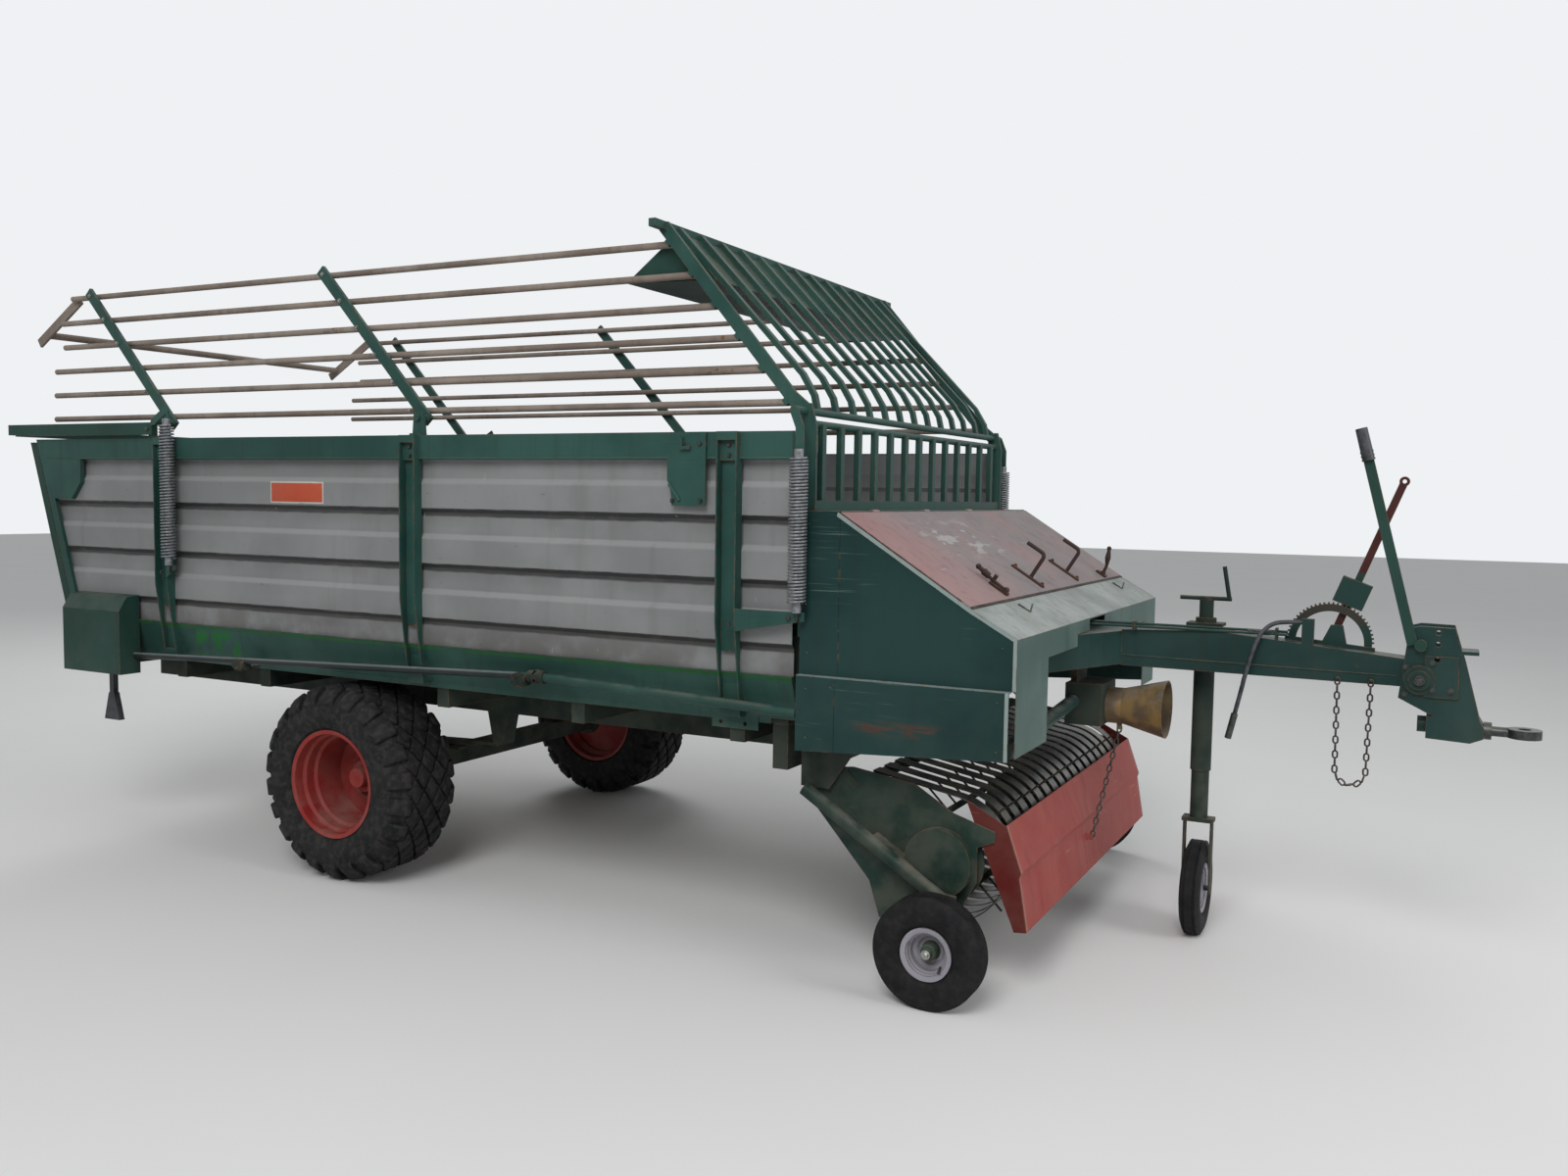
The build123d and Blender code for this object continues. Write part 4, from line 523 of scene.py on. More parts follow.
def wall_grey():
    """Pressed side panels: grey paint, a painted highlight along each ridge's top, painted black shadow
    under each ridge and softer painted shade below the ridges and the rail, faint runs, dirt along the foot.
    """
    tree, shader = new_finish("wall_grey")
    weather = use_group(tree, "weather", rust=0.0, dust=0.18)
    height = coordinate(tree, "Z")
    colour = mix(tree, weather["Fade"], (0.185, 0.191, 0.192), (0.226, 0.231, 0.232))
    # A paler strip along each ridge's top is a painted highlight of light falling from above.
    for top in RIDGE_TOPS:
        rubbed = within(tree, "Z", top - 0.012, top + 0.010, 0.006)
        colour = stain(tree, colour, rubbed, (0.300, 0.305, 0.305), 0.55)
    # A black band under each ridge's foot is painted shadow of the ridge, with a ragged edge.
    ragged = maths(tree, "SUBTRACT", cloud(tree, 12.0, 5.0, (1, 1, 0.3)), 0.5)
    wavy = plus(tree, height, times(tree, ragged, 0.010))
    ridge_shadow = any_of(tree, *(times(tree, spread(tree, wavy, foot - 0.030, foot - 0.020),
                                 spread(tree, wavy, foot + 0.007, foot + 0.003)) for foot in RIDGE_FEET))
    colour = stain(tree, colour, ridge_shadow, (0.024, 0.025, 0.024), 0.92)
    under_rail = 1.790
    shade = any_of(tree, *(times(tree, spread(tree, wavy, foot - 0.085, foot - 0.022),
                                 spread(tree, height, foot - 0.010, foot - 0.012))
                           for foot in (*RIDGE_FEET, under_rail)))
    uneven = blotches(tree, 0.30, 0.65, 4.0, 4.0, (1, 1, 0.4))
    colour = stain(tree, colour, times(tree, shade, uneven), (0.085, 0.084, 0.078), 0.30)
    dirt = times(tree, spread(tree, height, 1.20, 1.04), blotches(tree, 0.32, 0.60, 6.0, 6.0))
    colour = stain(tree, colour, dirt, (0.070, 0.064, 0.054), 0.60)
    runs = blotches(tree, 0.54, 0.74, 1.0, 4.0, (13, 13, 0.7))
    colour = stain(tree, colour, runs, (0.110, 0.108, 0.100), 0.22)
    nicks = blotches(tree, 0.735, 0.76, 1.0, 2.0, (46, 46, 9), (2, 3, 1))
    colour = stain(tree, colour, nicks, (0.36, 0.36, 0.35), 0.4)
    marks = blotches(tree, 0.715, 0.75, 1.0, 3.0, (34, 34, 60), (5, 1, 4))
    colour = stain(tree, colour, marks, (0.060, 0.052, 0.042), 0.5)
    colour = stain(tree, colour, weather["Dust"], DUST)
    rough = spread(tree, cloud(tree, 5.0, 4.0), 0.3, 0.7, 0.36, 0.52)
    grain = use_group(tree, "grain", scale=180.0, dents=1.6)
    cover(tree, shader, colour, rough, grain["Height"], 0.5, 0.007, sheen=0.20)


def bare_metal(name, dark, light, rough, metallic, rust):
    """Metal that hands, crop or weather keep rubbing: brushed, with brown rust in patches."""
    tree, shader = new_finish(name)
    weather = use_group(tree, "weather", rust=rust, dust=0.3)
    brushed = cloud(tree, 60.0, 4.0)
    colour = mix(tree, spread(tree, brushed, 0.3, 0.7), dark, light)
    colour = stain(tree, colour, weather["Rust"], rust_colour(tree))
    colour = stain(tree, colour, weather["Dust"], DUST)
    covered = any_of(tree, weather["Rust"], weather["Dust"])
    tree.links.new(spread(tree, covered, 0.0, 1.0, metallic, 0.0), shader.inputs["Metallic"])
    cover(tree, shader, colour, spread(tree, weather["Rust"], 0.0, 1.0, rough, 0.85), brushed, 0.25, 0.002)


def rubber(name, dark, worn, dusting):
    """Weathered rubber: darker and paler patches with a thin film of dust."""
    tree, shader = new_finish(name)
    patches = cloud(tree, 11.0, 7.0)
    colour = mix(tree, spread(tree, patches, 0.35, 0.65), dark, worn)
    dusty = blotches(tree, 0.42, 0.66, 34.0, 6.0)
    colour = stain(tree, colour, dusty, (0.115, 0.103, 0.086), dusting)
    rough = spread(tree, patches, 0.3, 0.7, 0.62, 0.86)
    height = plus(tree, cloud(tree, 160.0, 3.0), times(tree, patches, 0.6))
    cover(tree, shader, colour, rough, height, 0.35, 0.003, sheen=0.14)


def black_rubber():
    """Smooth rubber of hose, sleeve, valves and flaps."""
    tree, shader = new_finish("black_rubber")
    patches = cloud(tree, 30.0, 5.0)
    colour = mix(tree, spread(tree, patches, 0.35, 0.70), (0.010, 0.012, 0.015), (0.045, 0.048, 0.055))
    rough = spread(tree, patches, 0.3, 0.7, 0.42, 0.62)
    cover(tree, shader, colour, rough, cloud(tree, 420.0, 2.0), 0.2, 0.001)


def floor_boards():
    """Weathered planks that run along the wagon, with dark joints every 120 mm."""
    tree, shader = new_finish("floor_boards")
    boards_per_metre, joint_share = 8.333, 0.06
    fibre = cloud(tree, 1.0, 6.0, (3, 70, 70))
    colour = mix(tree, spread(tree, fibre, 0.3, 0.7), (0.14, 0.105, 0.070), (0.30, 0.245, 0.180))
    across = maths(tree, "FRACT", times(tree, coordinate(tree, "Y"), boards_per_metre))
    joint = maths(tree, "LESS_THAN", across, joint_share)
    colour = stain(tree, colour, joint, (0.015, 0.012, 0.010))
    damp = blotches(tree, 0.45, 0.65, 3.0, 5.0)
    colour = stain(tree, colour, damp, (0.06, 0.05, 0.035), 0.5)
    rough = spread(tree, fibre, 0.3, 0.7, 0.7, 0.9)
    cover(tree, shader, colour, rough, maths(tree, "SUBTRACT", fibre, joint), 0.5, 0.003)


def guard_plastic():
    """The power shaft's cone: yellow plastic gone brown with grease."""
    tree, shader = new_finish("guard_plastic")
    weather = use_group(tree, "weather", rust=0.0, dust=0.5)
    grease = blotches(tree, 0.35, 0.62, 14.0, 6.0)
    colour = mix(tree, grease, (0.205, 0.125, 0.038), (0.075, 0.048, 0.026))
    colour = stain(tree, colour, weather["Dust"], DUST)
    rough = spread(tree, grease, 0.0, 1.0, 0.42, 0.68)
    cover(tree, shader, colour, rough, cloud(tree, 90.0, 4.0), 0.25, 0.002)


def floor_finish():
    tree, shader = new_finish("floor_finish")
    colour = mix(tree, cloud(tree, 0.8, 2.0), (0.74, 0.74, 0.73), (0.78, 0.78, 0.77))
    tree.links.new(colour, shader.inputs["Base Color"])
    shader.inputs["Roughness"].default_value = 0.85


def make_finishes():
    for name, values in PLAIN_PAINTS.items():
        painted(name, *values)
    for name, values in METALS.items():
        bare_metal(name, *values)
    rubber("tyre_rubber", (0.008, 0.009, 0.010), (0.020, 0.020, 0.021), 0.18)
    rubber("gauge_rubber", (0.007, 0.007, 0.008), (0.016, 0.016, 0.017), 0.07)
    for maker in (body_green_paint, housing_green_paint, drawbar_green_paint, pale_green_paint,
                  faded_red_lid, wind_guard_red, rim_silver, brake_paint, floor_drive_paint, wall_grey,
                  black_rubber, floor_boards, guard_plastic, floor_finish):
        maker()


# Mesh building blocks

def finish_mesh(name, shape, smooth_below=35):
    """Turns a bmesh into an object; edges flatter than the given angle are shaded smooth."""
    mesh = bpy.data.meshes.new(name)
    limit = math.radians(smooth_below)
    for face in shape.faces:
        face.smooth = True
    for edge in shape.edges:
        edge.smooth = len(edge.link_faces) == 2 and edge.calc_face_angle(0) < limit
    shape.to_mesh(mesh)
    shape.free()
    return link_up(bpy.data.objects.new(name, mesh))


def add_piece(name, shape, finish, body, smooth_below=35):
    made = finish_mesh(name, shape, smooth_below)
    made.data.materials.append(FINISHES[finish])
    if body:
        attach(made, body)
    return made


def only(sort, geometry):
    return [item for item in geometry if isinstance(item, sort)]


def edges_at(verts):
    return list({edge for vert in verts for edge in vert.link_edges})


def connected(start):
    """Every vertex that hangs together with the given ones."""
    found, queue = set(start), list(start)
    while queue:
        for edge in queue.pop().link_edges:
            for vert in edge.verts:
                if vert not in found:
                    found.add(vert)
                    queue.append(vert)
    return list(found)


def bevel(shape, edges, offset, segments=1):
    return bmesh.ops.bevel(shape, geom=edges, offset=offset, segments=segments, profile=0.5, affect="EDGES",
                           material=-1)["verts"]


def merge_and_turn_out(shape):
    bmesh.ops.remove_doubles(shape, verts=shape.verts, dist=1e-5)
    bmesh.ops.recalc_face_normals(shape, faces=shape.faces)


def turn_to(direction):
    """Matrix that turns a shape made along Z to point along a direction."""
    return Vector(direction).to_track_quat("Z", "Y").to_matrix().to_4x4()


def add_rod(shape, start, end, radius, sides=12, end_radius=None):
    start, end = Vector(start), Vector(end)
    made = bmesh.ops.create_cone(shape, cap_ends=True, segments=sides, radius1=radius,
                                 radius2=radius if end_radius is None else end_radius,
                                 depth=(end - start).length)["verts"]
    place = Matrix.Translation((start + end) / 2) @ turn_to(end - start)
    bmesh.ops.transform(shape, matrix=place, verts=made)
    return made


def add_block(shape, middle, size, soften=0.0, turn=Matrix()):
    made = bmesh.ops.create_cube(shape, size=1.0)["verts"]
    bmesh.ops.scale(shape, vec=size, verts=made)
    if soften:
        made = bevel(shape, edges_at(made), soften, 2)
    bmesh.ops.transform(shape, matrix=Matrix.Translation(middle) @ turn, verts=made)


def add_bolt(shape, place, along, size=0.013, height=0.009):
    """A hexagon head on a washer; the head points along the given direction."""
    washer = 0.0025
    place, along = Vector(place), Vector(along).normalized()
    washer_top = place + along * washer
    add_rod(shape, place, washer_top, size * 0.98, 18)
    head = add_rod(shape, washer_top, washer_top + along * height, size * 0.66, 6)
    rim = [edge for edge in edges_at(head) if all((v.co - place).dot(along) > height for v in edge.verts)]
    bevel(shape, rim, size * 0.10)


def add_screw(shape, place, along, radius=0.0050):
    """A dome-headed screw."""
    head = bmesh.ops.create_uvsphere(shape, u_segments=12, v_segments=6, radius=radius)["verts"]
    bmesh.ops.scale(shape, vec=(1, 1, 0.45), verts=head)
    bmesh.ops.transform(shape, matrix=Matrix.Translation(place) @ turn_to(along), verts=head)


def add_ball(shape, place, radius):
    made = bmesh.ops.create_uvsphere(shape, u_segments=12, v_segments=8, radius=radius)["verts"]
    bmesh.ops.translate(shape, vec=place, verts=made)


def along_sides(shape, add, spots, out, *size, sides=(-1, 1)):
    """Adds a bolt or screw at each (x, z) spot of an upright face, on both sides, heads outwards."""
    for side in sides:
        for x, z in spots:
            add(shape, (at(x), side * out, z), (0, side, 0), *size)


def ring_at(shape, place, radius, sides=8):
    """A circle of vertices that a tube grows from."""
    ring = bmesh.ops.create_circle(shape, segments=sides, radius=radius)["verts"]
    bmesh.ops.transform(shape, matrix=place, verts=ring)
    return ring


def grow_straight(shape, edges, shift):
    """Extrudes a tube's open end by a shift; gives the new end's vertices and edges."""
    grown = bmesh.ops.extrude_edge_only(shape, edges=edges)["geom"]
    verts = only(BMVert, grown)
    bmesh.ops.translate(shape, vec=shift, verts=verts)
    return verts + only(BMEdge, grown)


def grow_bend(shape, end, centre, angle, steps):
    """Spins a tube's open end about Y round a centre; gives the new end's edges."""
    turned = bmesh.ops.spin(shape, geom=end, cent=centre, axis=(0, 1, 0), dvec=(0, 0, 0), angle=angle,
                            steps=steps, use_merge=False, use_duplicate=False)["geom_last"]
    return only(BMEdge, turned)


# Tyres

def add_tyre(shape, section, axle, steps):
    """Spins a tyre's section, of (radius, y) points, about an axle along Y."""
    x, y, z = axle
    verts = [shape.verts.new((x + radius, y + out, z)) for radius, out in section]
    edges = [shape.edges.new(pair) for pair in zip(verts, verts[1:] + verts[:1])]
    bmesh.ops.spin(shape, geom=verts + edges, cent=axle, axis=(0, 1, 0), dvec=(0, 0, 0),
                   angle=math.tau, steps=steps, use_merge=True, use_duplicate=False)
    merge_and_turn_out(shape)


def tyre_section(outer, width, bead, seat, grooves=(), crown_flat=0.63, crown=0.026, depth=0.0):
    """Closed section of a tyre, from one bead over the tread to the other, as (radius, y).
    bead is the inner radius and seat half the width there. Each groove is its middle and half its width."""
    side = width / 2
    height = outer - bead
    half = [(bead, seat), (bead + 0.016, seat + 0.001), (bead + 0.022, (seat + side) / 2),
            (bead + height * 0.32, side - 0.002), (bead + height * 0.55, side),
            (outer - crown * 2.2, side * 0.96), (outer - crown, side * 0.82), (outer, side * crown_flat)]
    tread = []
    for middle, half_width in grooves:
        tread += [(outer, middle + half_width), (outer - depth, middle + half_width * 0.6),
                  (outer - depth, middle - half_width * 0.6), (outer, middle - half_width)]
    return half + tread + [(radius, -out) for radius, out in half[::-1]]


def main_tyres():
    """Wide implement tyres: five staggered rows of diamond blocks, and lugs round the shoulders."""
    pitches, rows, row_spacing = 22, (-2, -1, 0, 1, 2), 0.045
    tread_depth, block_middle, block_size = 0.020, 0.0170, (0.025, 0.0636, 0.0636)
    diamond = Matrix.Diagonal((1, 0.867, 1.178, 1)) @ Matrix.Rotation(math.pi / 4, 4, "X")
    section = tyre_section(WHEEL_RADIUS - tread_depth, WHEEL_WIDTH - 0.010, bead=0.219, seat=0.1587)
    half_pitch = Matrix.Rotation(math.pi / pitches, 4, "Y")
    for label, side in SIDES:
        axle = Vector((at(0), side * WHEEL_OUT, WHEEL_RADIUS))
        shape = bmesh.new()
        add_tyre(shape, section, axle, 96)
        for index in range(pitches):
            around = Matrix.Translation(axle) @ Matrix.Rotation(math.tau * index / pitches, 4, "Y")
            for row in rows:
                turned = around @ half_pitch if row % 2 else around
                place = Matrix.Translation((WHEEL_RADIUS - block_middle, row * row_spacing, 0))
                add_tread_block(shape, turned @ place @ diamond, block_size)
            for end in (1, -1):
                add_shoulder_lug(shape, around @ half_pitch, end, tread_depth + 0.002)
        made = add_piece(f"main_tyre_{label}", shape, "tyre_rubber", f"wheel_{label}", 40)
        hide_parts(f"wheel_{label}_tyre")


def add_tread_block(shape, place, size):
    """A block whose upright edges and outer rim are rounded, made at the origin and then put in place."""
    made = bmesh.ops.create_cube(shape, size=1.0)["verts"]
    bmesh.ops.scale(shape, vec=size, verts=made)
    showing = [edge for edge in edges_at(made) if any(vert.co.x > 0 for vert in edge.verts)]
    block = connected(bevel(shape, showing, 0.007, 2))
    bmesh.ops.transform(shape, matrix=place, verts=block)


def add_shoulder_lug(shape, place, end, depth):
    """One lug along the tyre's profile, from the tread down the sidewall at one end of it."""
    outer, side, crown = WHEEL_RADIUS, WHEEL_WIDTH / 2, 0.026
    inset, length, lead, slant = 0.010, 0.068, 0.036, 0.06
    over = [(outer - 0.0035, side * 0.60), (outer - 0.006, side * 0.68), (outer - crown, side * 0.83),
            (outer - crown * 2.2, side * 0.965), (outer - 0.070, side * 0.985)]
    under = [(radius - depth, out - inset) for radius, out in over[::-1]]
    verts = [shape.verts.new((radius, end * out, -lead + slant * max(out - over[0][1], 0)))
             for radius, out in over + under]
    grown = bmesh.ops.extrude_face_region(shape, geom=[shape.faces.new(verts)])
    bmesh.ops.translate(shape, vec=(0, 0, length), verts=only(BMVert, grown["geom"]))
    lug = connected(verts)
    rim = [edge for edge in edges_at(lug) if edge.calc_face_angle(0) > 0.9]
    bmesh.ops.recalc_face_normals(shape, faces=list({face for vert in lug for face in vert.link_faces}))
    bmesh.ops.transform(shape, matrix=place, verts=lug)
    bevel(shape, rim, 0.005)


def small_tyres():
    """Ribbed gauge wheel tyres and the jack wheel's plain one."""
    grooves = [(y, 0.0035) for y in (0.028, 0.014, 0.0, -0.014, -0.028)]
    section = tyre_section(GAUGE_RADIUS, width=0.100, bead=0.0765, seat=0.0337, grooves=grooves,
                           crown_flat=0.68, crown=0.012, depth=0.006)
    for label, side in SIDES:
        shape = bmesh.new()
        add_tyre(shape, section, Vector((at(GAUGE_X), side * GAUGE_OUT, GAUGE_RADIUS)), 72)
        made = add_piece(f"gauge_tyre_{label}", shape, "gauge_rubber", f"gauge_wheel_{label}", 28)
        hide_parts(f"gauge_wheel_{label}_tyre")
    shape = bmesh.new()
    grooves = [(0.018, 0.004), (-0.018, 0.004)]
    section = tyre_section(JACK_RADIUS, width=0.076, bead=0.083, seat=0.0237, grooves=grooves,
                           crown_flat=0.70, crown=0.010, depth=0.004)
    add_tyre(shape, section, Vector((0, 0, 0)), 64)
    place = Matrix.Translation((at(JACK_X), JACK_OUT, JACK_RADIUS)) @ Matrix.Rotation(math.pi / 2, 4, "Z")
    bmesh.ops.transform(shape, matrix=place, verts=shape.verts)
    made = add_piece("jack_tyre", shape, "gauge_rubber", "jack_wheel", 28)
    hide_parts("jack_wheel_tyre")


# Springs and chains

def coil(name, x, y, low, high):
    """A close-wound tension spring with a hook's shank at each end, stretched between two bodies."""
    radius, wire, turns, steps, end_gap, shank = 0.033, 0.0042, 44, 14, 0.03, 0.036
    shape = bmesh.new()
    ring = ring_at(shape, Matrix.Translation((x + radius - wire, y, low + end_gap))
                   @ Matrix.Rotation(math.pi / 2, 4, "X"), wire)
    rise = (high - low - 2 * end_gap) / (turns * steps)
    bmesh.ops.spin(shape, geom=ring + edges_at(ring), cent=(x, y, 0), axis=(0, 0, 1), dvec=(0, 0, rise),
                   angle=math.tau * turns, steps=turns * steps, use_merge=False, use_duplicate=False)
    for foot in (low, high - shank):
        add_rod(shape, (x, y, foot), (x, y, foot + shank), radius / 2, 14)
    bmesh.ops.recalc_face_normals(shape, faces=shape.faces)
    made = add_piece(name, shape, "spring_steel", None, 60)
    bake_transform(made)
    return made


def springs():
    for name, (x, low, high, moving, node) in SPRINGS.items():
        pair = [coil(f"{name}_{label}", at(x), side * SPRING_OUT, low, high)
                for label, side in SIDES]
        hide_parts(node)


def spring_hooks():
    """Bent hooks that hang the balance springs' lower ends on their plates."""
    shape = bmesh.new()
    for side in (-1, 1):
        y = side * SPRING_OUT
        for x, low in [spring[:2] for spring in SPRINGS.values()]:
            add_rod(shape, (at(x), y, low + 0.004), (at(x), y, low - 0.026), 0.0055, 10)
            add_rod(shape, (at(x), y, low - 0.024), (at(x), side * 1.088, low - 0.030), 0.0055, 10)
    add_piece("spring_hooks", shape, "greased_steel", "chassis", 60)


def add_link(shape, place, length, wire, half_gap):
    """An oval link of round wire: length over all, half_gap from the middle to the wire's centre line."""
    straight = length / 2 - wire - half_gap
    ring = ring_at(shape, Matrix.Translation((half_gap, 0, -straight)), wire)
    edges = edges_at(ring)
    for end in (1, -1):
        leg = grow_straight(shape, edges, (0, 0, end * 2 * straight))
        edges = grow_bend(shape, leg, (0, 0, end * straight), -math.pi, 8)
    link = connected(ring)
    bmesh.ops.transform(shape, matrix=place, verts=link)
    bmesh.ops.remove_doubles(shape, verts=link, dist=1e-5)


def chain_along(points):
    """Oval links along a path of straight legs; every second link is turned a quarter round."""
    pitch, wire, half_gap, across = 0.026, 0.0032, 0.0075, Vector((0, 1, 0))
    shape = bmesh.new()
    points = [Vector(point) for point in points]
    legs = list(zip(points, points[1:]))
    total = sum((b - a).length for a, b in legs)
    count = round(total / pitch)
    for index in range(count):
        left = (index + 0.5) * total / count
        for a, b in legs:
            if left <= (b - a).length:
                break
            left -= (b - a).length
        along = (b - a).normalized()
        side = (across - along * along.dot(across)).normalized()
        normal = along.cross(side) if index % 2 else side
        turn = Matrix((normal.cross(along), normal, along)).transposed().to_4x4()
        place = Matrix.Translation(a + along * left) @ turn
        add_link(shape, place, total / count + 2 * wire - 0.001, wire, half_gap)
    bmesh.ops.recalc_face_normals(shape, faces=shape.faces)
    return shape


def chains():
    """The loop of safety chain under the drawbar, and the chain that holds the power shaft's guard."""
    middle, y, top, low, half_top, radius, steps = 3.869, -0.069, 1.056, 0.727, 0.054, 0.050, 6
    turns = [math.pi * step / steps for step in range(steps + 1)]
    bottom = [(at(middle - radius * math.cos(turn)), y, low - radius * math.sin(turn)) for turn in turns]
    path = [(at(middle - half_top), y, top), *bottom, (at(middle + half_top), y, top)]
    loop = add_piece("safety_chain", chain_along(path), "chain_dark", "chassis", 60)
    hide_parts("hitch_chain")
    top, hook = (at(3.037), 0.050, 0.788), (at(2.964), -0.049, 0.358)
    held = add_piece("guard_hanger_chain", chain_along([top, hook]), "chain_dark", None, 60)
    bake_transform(held)
    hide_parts("guard_chain")


# Bolts and small fittings

def body_bolts():
    """Bolts of the posts and the top rail, and of the holder, spring and strap plates."""
    post_face, plate_face, strap_face = 1.0672, 1.0921, 1.0721
    size, height = 0.0095, 0.006
    shape = bmesh.new()
    along_sides(shape, add_bolt, [(x, z) for x in POSTS for z in (1.838, 1.802)], post_face, size, height)
    along_sides(shape, add_bolt, ((-1.060, 1.275), (-1.012, 1.290), (1.925, 1.215), (2.160, 1.248)),
                plate_face, size, height)
    along_sides(shape, add_bolt, ((1.676, 1.641), (1.792, 1.641), (1.720, 1.842), (1.788, 1.842)),
                strap_face, size, height, sides=(-1,))
    add_piece("body_bolts", shape, "greased_steel", "chassis", 30)


def rail_lips():
    """The folded lower edge of each top rail, which catches the light; it stops at the posts."""
    out, z, radius, clear = 1.0600, 1.7925, 0.0045, 0.043
    rear, front = -1.725, 2.146
    shape = bmesh.new()
    stops = [rear, *(post + shift for post in POSTS for shift in (-clear, clear)), front]
    for side in (-1, 1):
        for start, end in zip(stops[::2], stops[1::2]):
            add_rod(shape, (at(start), side * out, z), (at(end), side * out, z), radius, 10)
    add_piece("rail_lips", shape, "roof_green_paint", "chassis", 60)


def name_plate():
    """The blank red plate on the side wall, pale round its edge."""
    for name, out, size, finish, slot in (
            ("plate_border", 1.0456, (0.318, 0.0014, 0.094), "plate_pale", "light_grey_paint"),
            ("plate_face", 1.0466, (0.304, 0.0014, 0.080), "plate_red", "red_paint")):
        shape = bmesh.new()
        add_block(shape, (at(PLATE_X), -out, PLATE_Z), size, 0.0004)
        add_piece(name, shape, finish, "chassis")


SLOPE = Vector((0.477, 0, -0.302)).normalized()         # down the housing lid
OFF_LID = Vector((-SLOPE.z, 0, SLOPE.x))
LID_TOP = Vector((at(2.323), 0, 1.612))
LID_TURN = Matrix((SLOPE, (0, 1, 0), OFF_LID)).transposed().to_4x4()


def on_lid(down, y, lift):
    """A point this far down the lid, and this far off it."""
    return LID_TOP + SLOPE * down + OFF_LID * lift + Vector((0, y, 0))


def add_grip(shape, down, y):
    """A round bar that stands on its foot, bends a quarter round and runs back up the slope."""
    radius, rise, bend, reach, foot_plate = 0.0078, 0.088, 0.018, 0.066, 0.008
    ring = ring_at(shape, Matrix(), radius, 12)
    upright = grow_straight(shape, edges_at(ring), (0, 0, rise))
    edges = grow_bend(shape, upright, (-bend, 0, rise), -math.pi / 2, 7)
    tip = grow_straight(shape, edges, (-reach, 0, 0))
    bmesh.ops.edgeloop_fill(shape, edges=only(BMEdge, tip))
    place = Matrix.Translation(on_lid(down, y, foot_plate)) @ LID_TURN
    bmesh.ops.transform(shape, matrix=place, verts=connected(ring))


# The latches' bars. Ends are given as down the lid, across from the latch's middle, and off the lid,
# then come the radius at each end.
LYING_LATCH = (((0.397, -0.004, 0.032), (0.420, 0.0, 0.028), 0.0075, 0.0095),
               ((0.420, 0.0, 0.028), (0.446, 0.002, 0.024), 0.0135, 0.0120),
               ((0.446, 0.002, 0.022), (0.530, 0.0, 0.017), 0.0065, 0.0060),
               ((0.468, 0.0, 0.018), (0.468, 0.0, 0.044), 0.0075, 0.0075),
               ((0.523, -0.012, 0.017), (0.523, 0.014, 0.017), 0.0110, 0.0110))
OPEN_LATCH = (((0.530, 0.0, 0.006), (0.524, 0.0, 0.050), 0.0080, 0.0065),
              ((0.524, 0.0, 0.050), (0.508, 0.0, 0.084), 0.0065, 0.0130),
              ((0.508, 0.0, 0.084), (0.492, 0.0, 0.118), 0.0130, 0.0070),
              ((0.528, -0.014, 0.014), (0.528, 0.014, 0.014), 0.0110, 0.0110))


def add_latch(shape, y, bars, ball, foot, foot_size):
    """A cast over-centre latch: its bars, then the ball at its tip and its foot, each as (down, y, lift)."""
    for start, end, radius, end_radius in bars:
        ends = [on_lid(down, y + across, lift) for down, across, lift in (start, end)]
        add_rod(shape, *ends, radius, 14, end_radius)
    add_ball(shape, on_lid(*ball), 0.0105)
    add_block(shape, on_lid(*foot), foot_size, 0.0015, LID_TURN)


def lid_fittings():
    """Bent grips on flat feet, two latches, of which the left one stands open, and their hooks."""
    shape = bmesh.new()
    for y in (-0.175, 0.339):
        add_block(shape, on_lid(0.461, y, 0.0080), (0.150, 0.020, 0.008), 0.0015, LID_TURN)
        add_grip(shape, 0.473, y)
        for down in (0.398, 0.524):
            add_bolt(shape, on_lid(down, y, 0.0120), OFF_LID, 0.009, 0.006)
    right, left = LATCHES
    add_latch(shape, right, LYING_LATCH, (0.397, right - 0.004, 0.032), (0.500, right, 0.0095),
              (0.080, 0.022, 0.010))
    add_latch(shape, left, OPEN_LATCH, (0.490, left, 0.121), (0.524, left, 0.0090), (0.050, 0.034, 0.009))
    made = add_piece("lid_grips", shape, "lever_rust", "hood", 40)
    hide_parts("hood_handles")
    shape = bmesh.new()
    wire = 0.0032
    for y in LATCHES:
        foot, bend = Vector((at(2.822), y, 1.3015)), Vector((at(2.864), y + 0.006, 1.2750))
        add_rod(shape, foot, bend, wire, 8)
        add_rod(shape, bend, bend + Vector((0.004, 0.012, 0.028)), wire, 8)
    add_piece("lip_hooks", shape, "greased_steel", "chassis", 60)


def housing_screws():
    """Dome-headed screws along the housing's trims and skirt."""
    shape = bmesh.new()
    skirt_face, panel_face = 1.0853, 1.0603
    skirt_spots = (2.225, 0.842), (2.225, 1.010), (2.318, 1.020), (2.900, 1.020), (2.900, 0.862)
    along_sides(shape, add_screw, skirt_spots, skirt_face)
    along_sides(shape, add_screw, ((2.215, 1.130), (2.215, 1.570), (2.905, 1.190)), panel_face)
    add_piece("housing_screws", shape, "dark_green_paint", "chassis", 50)


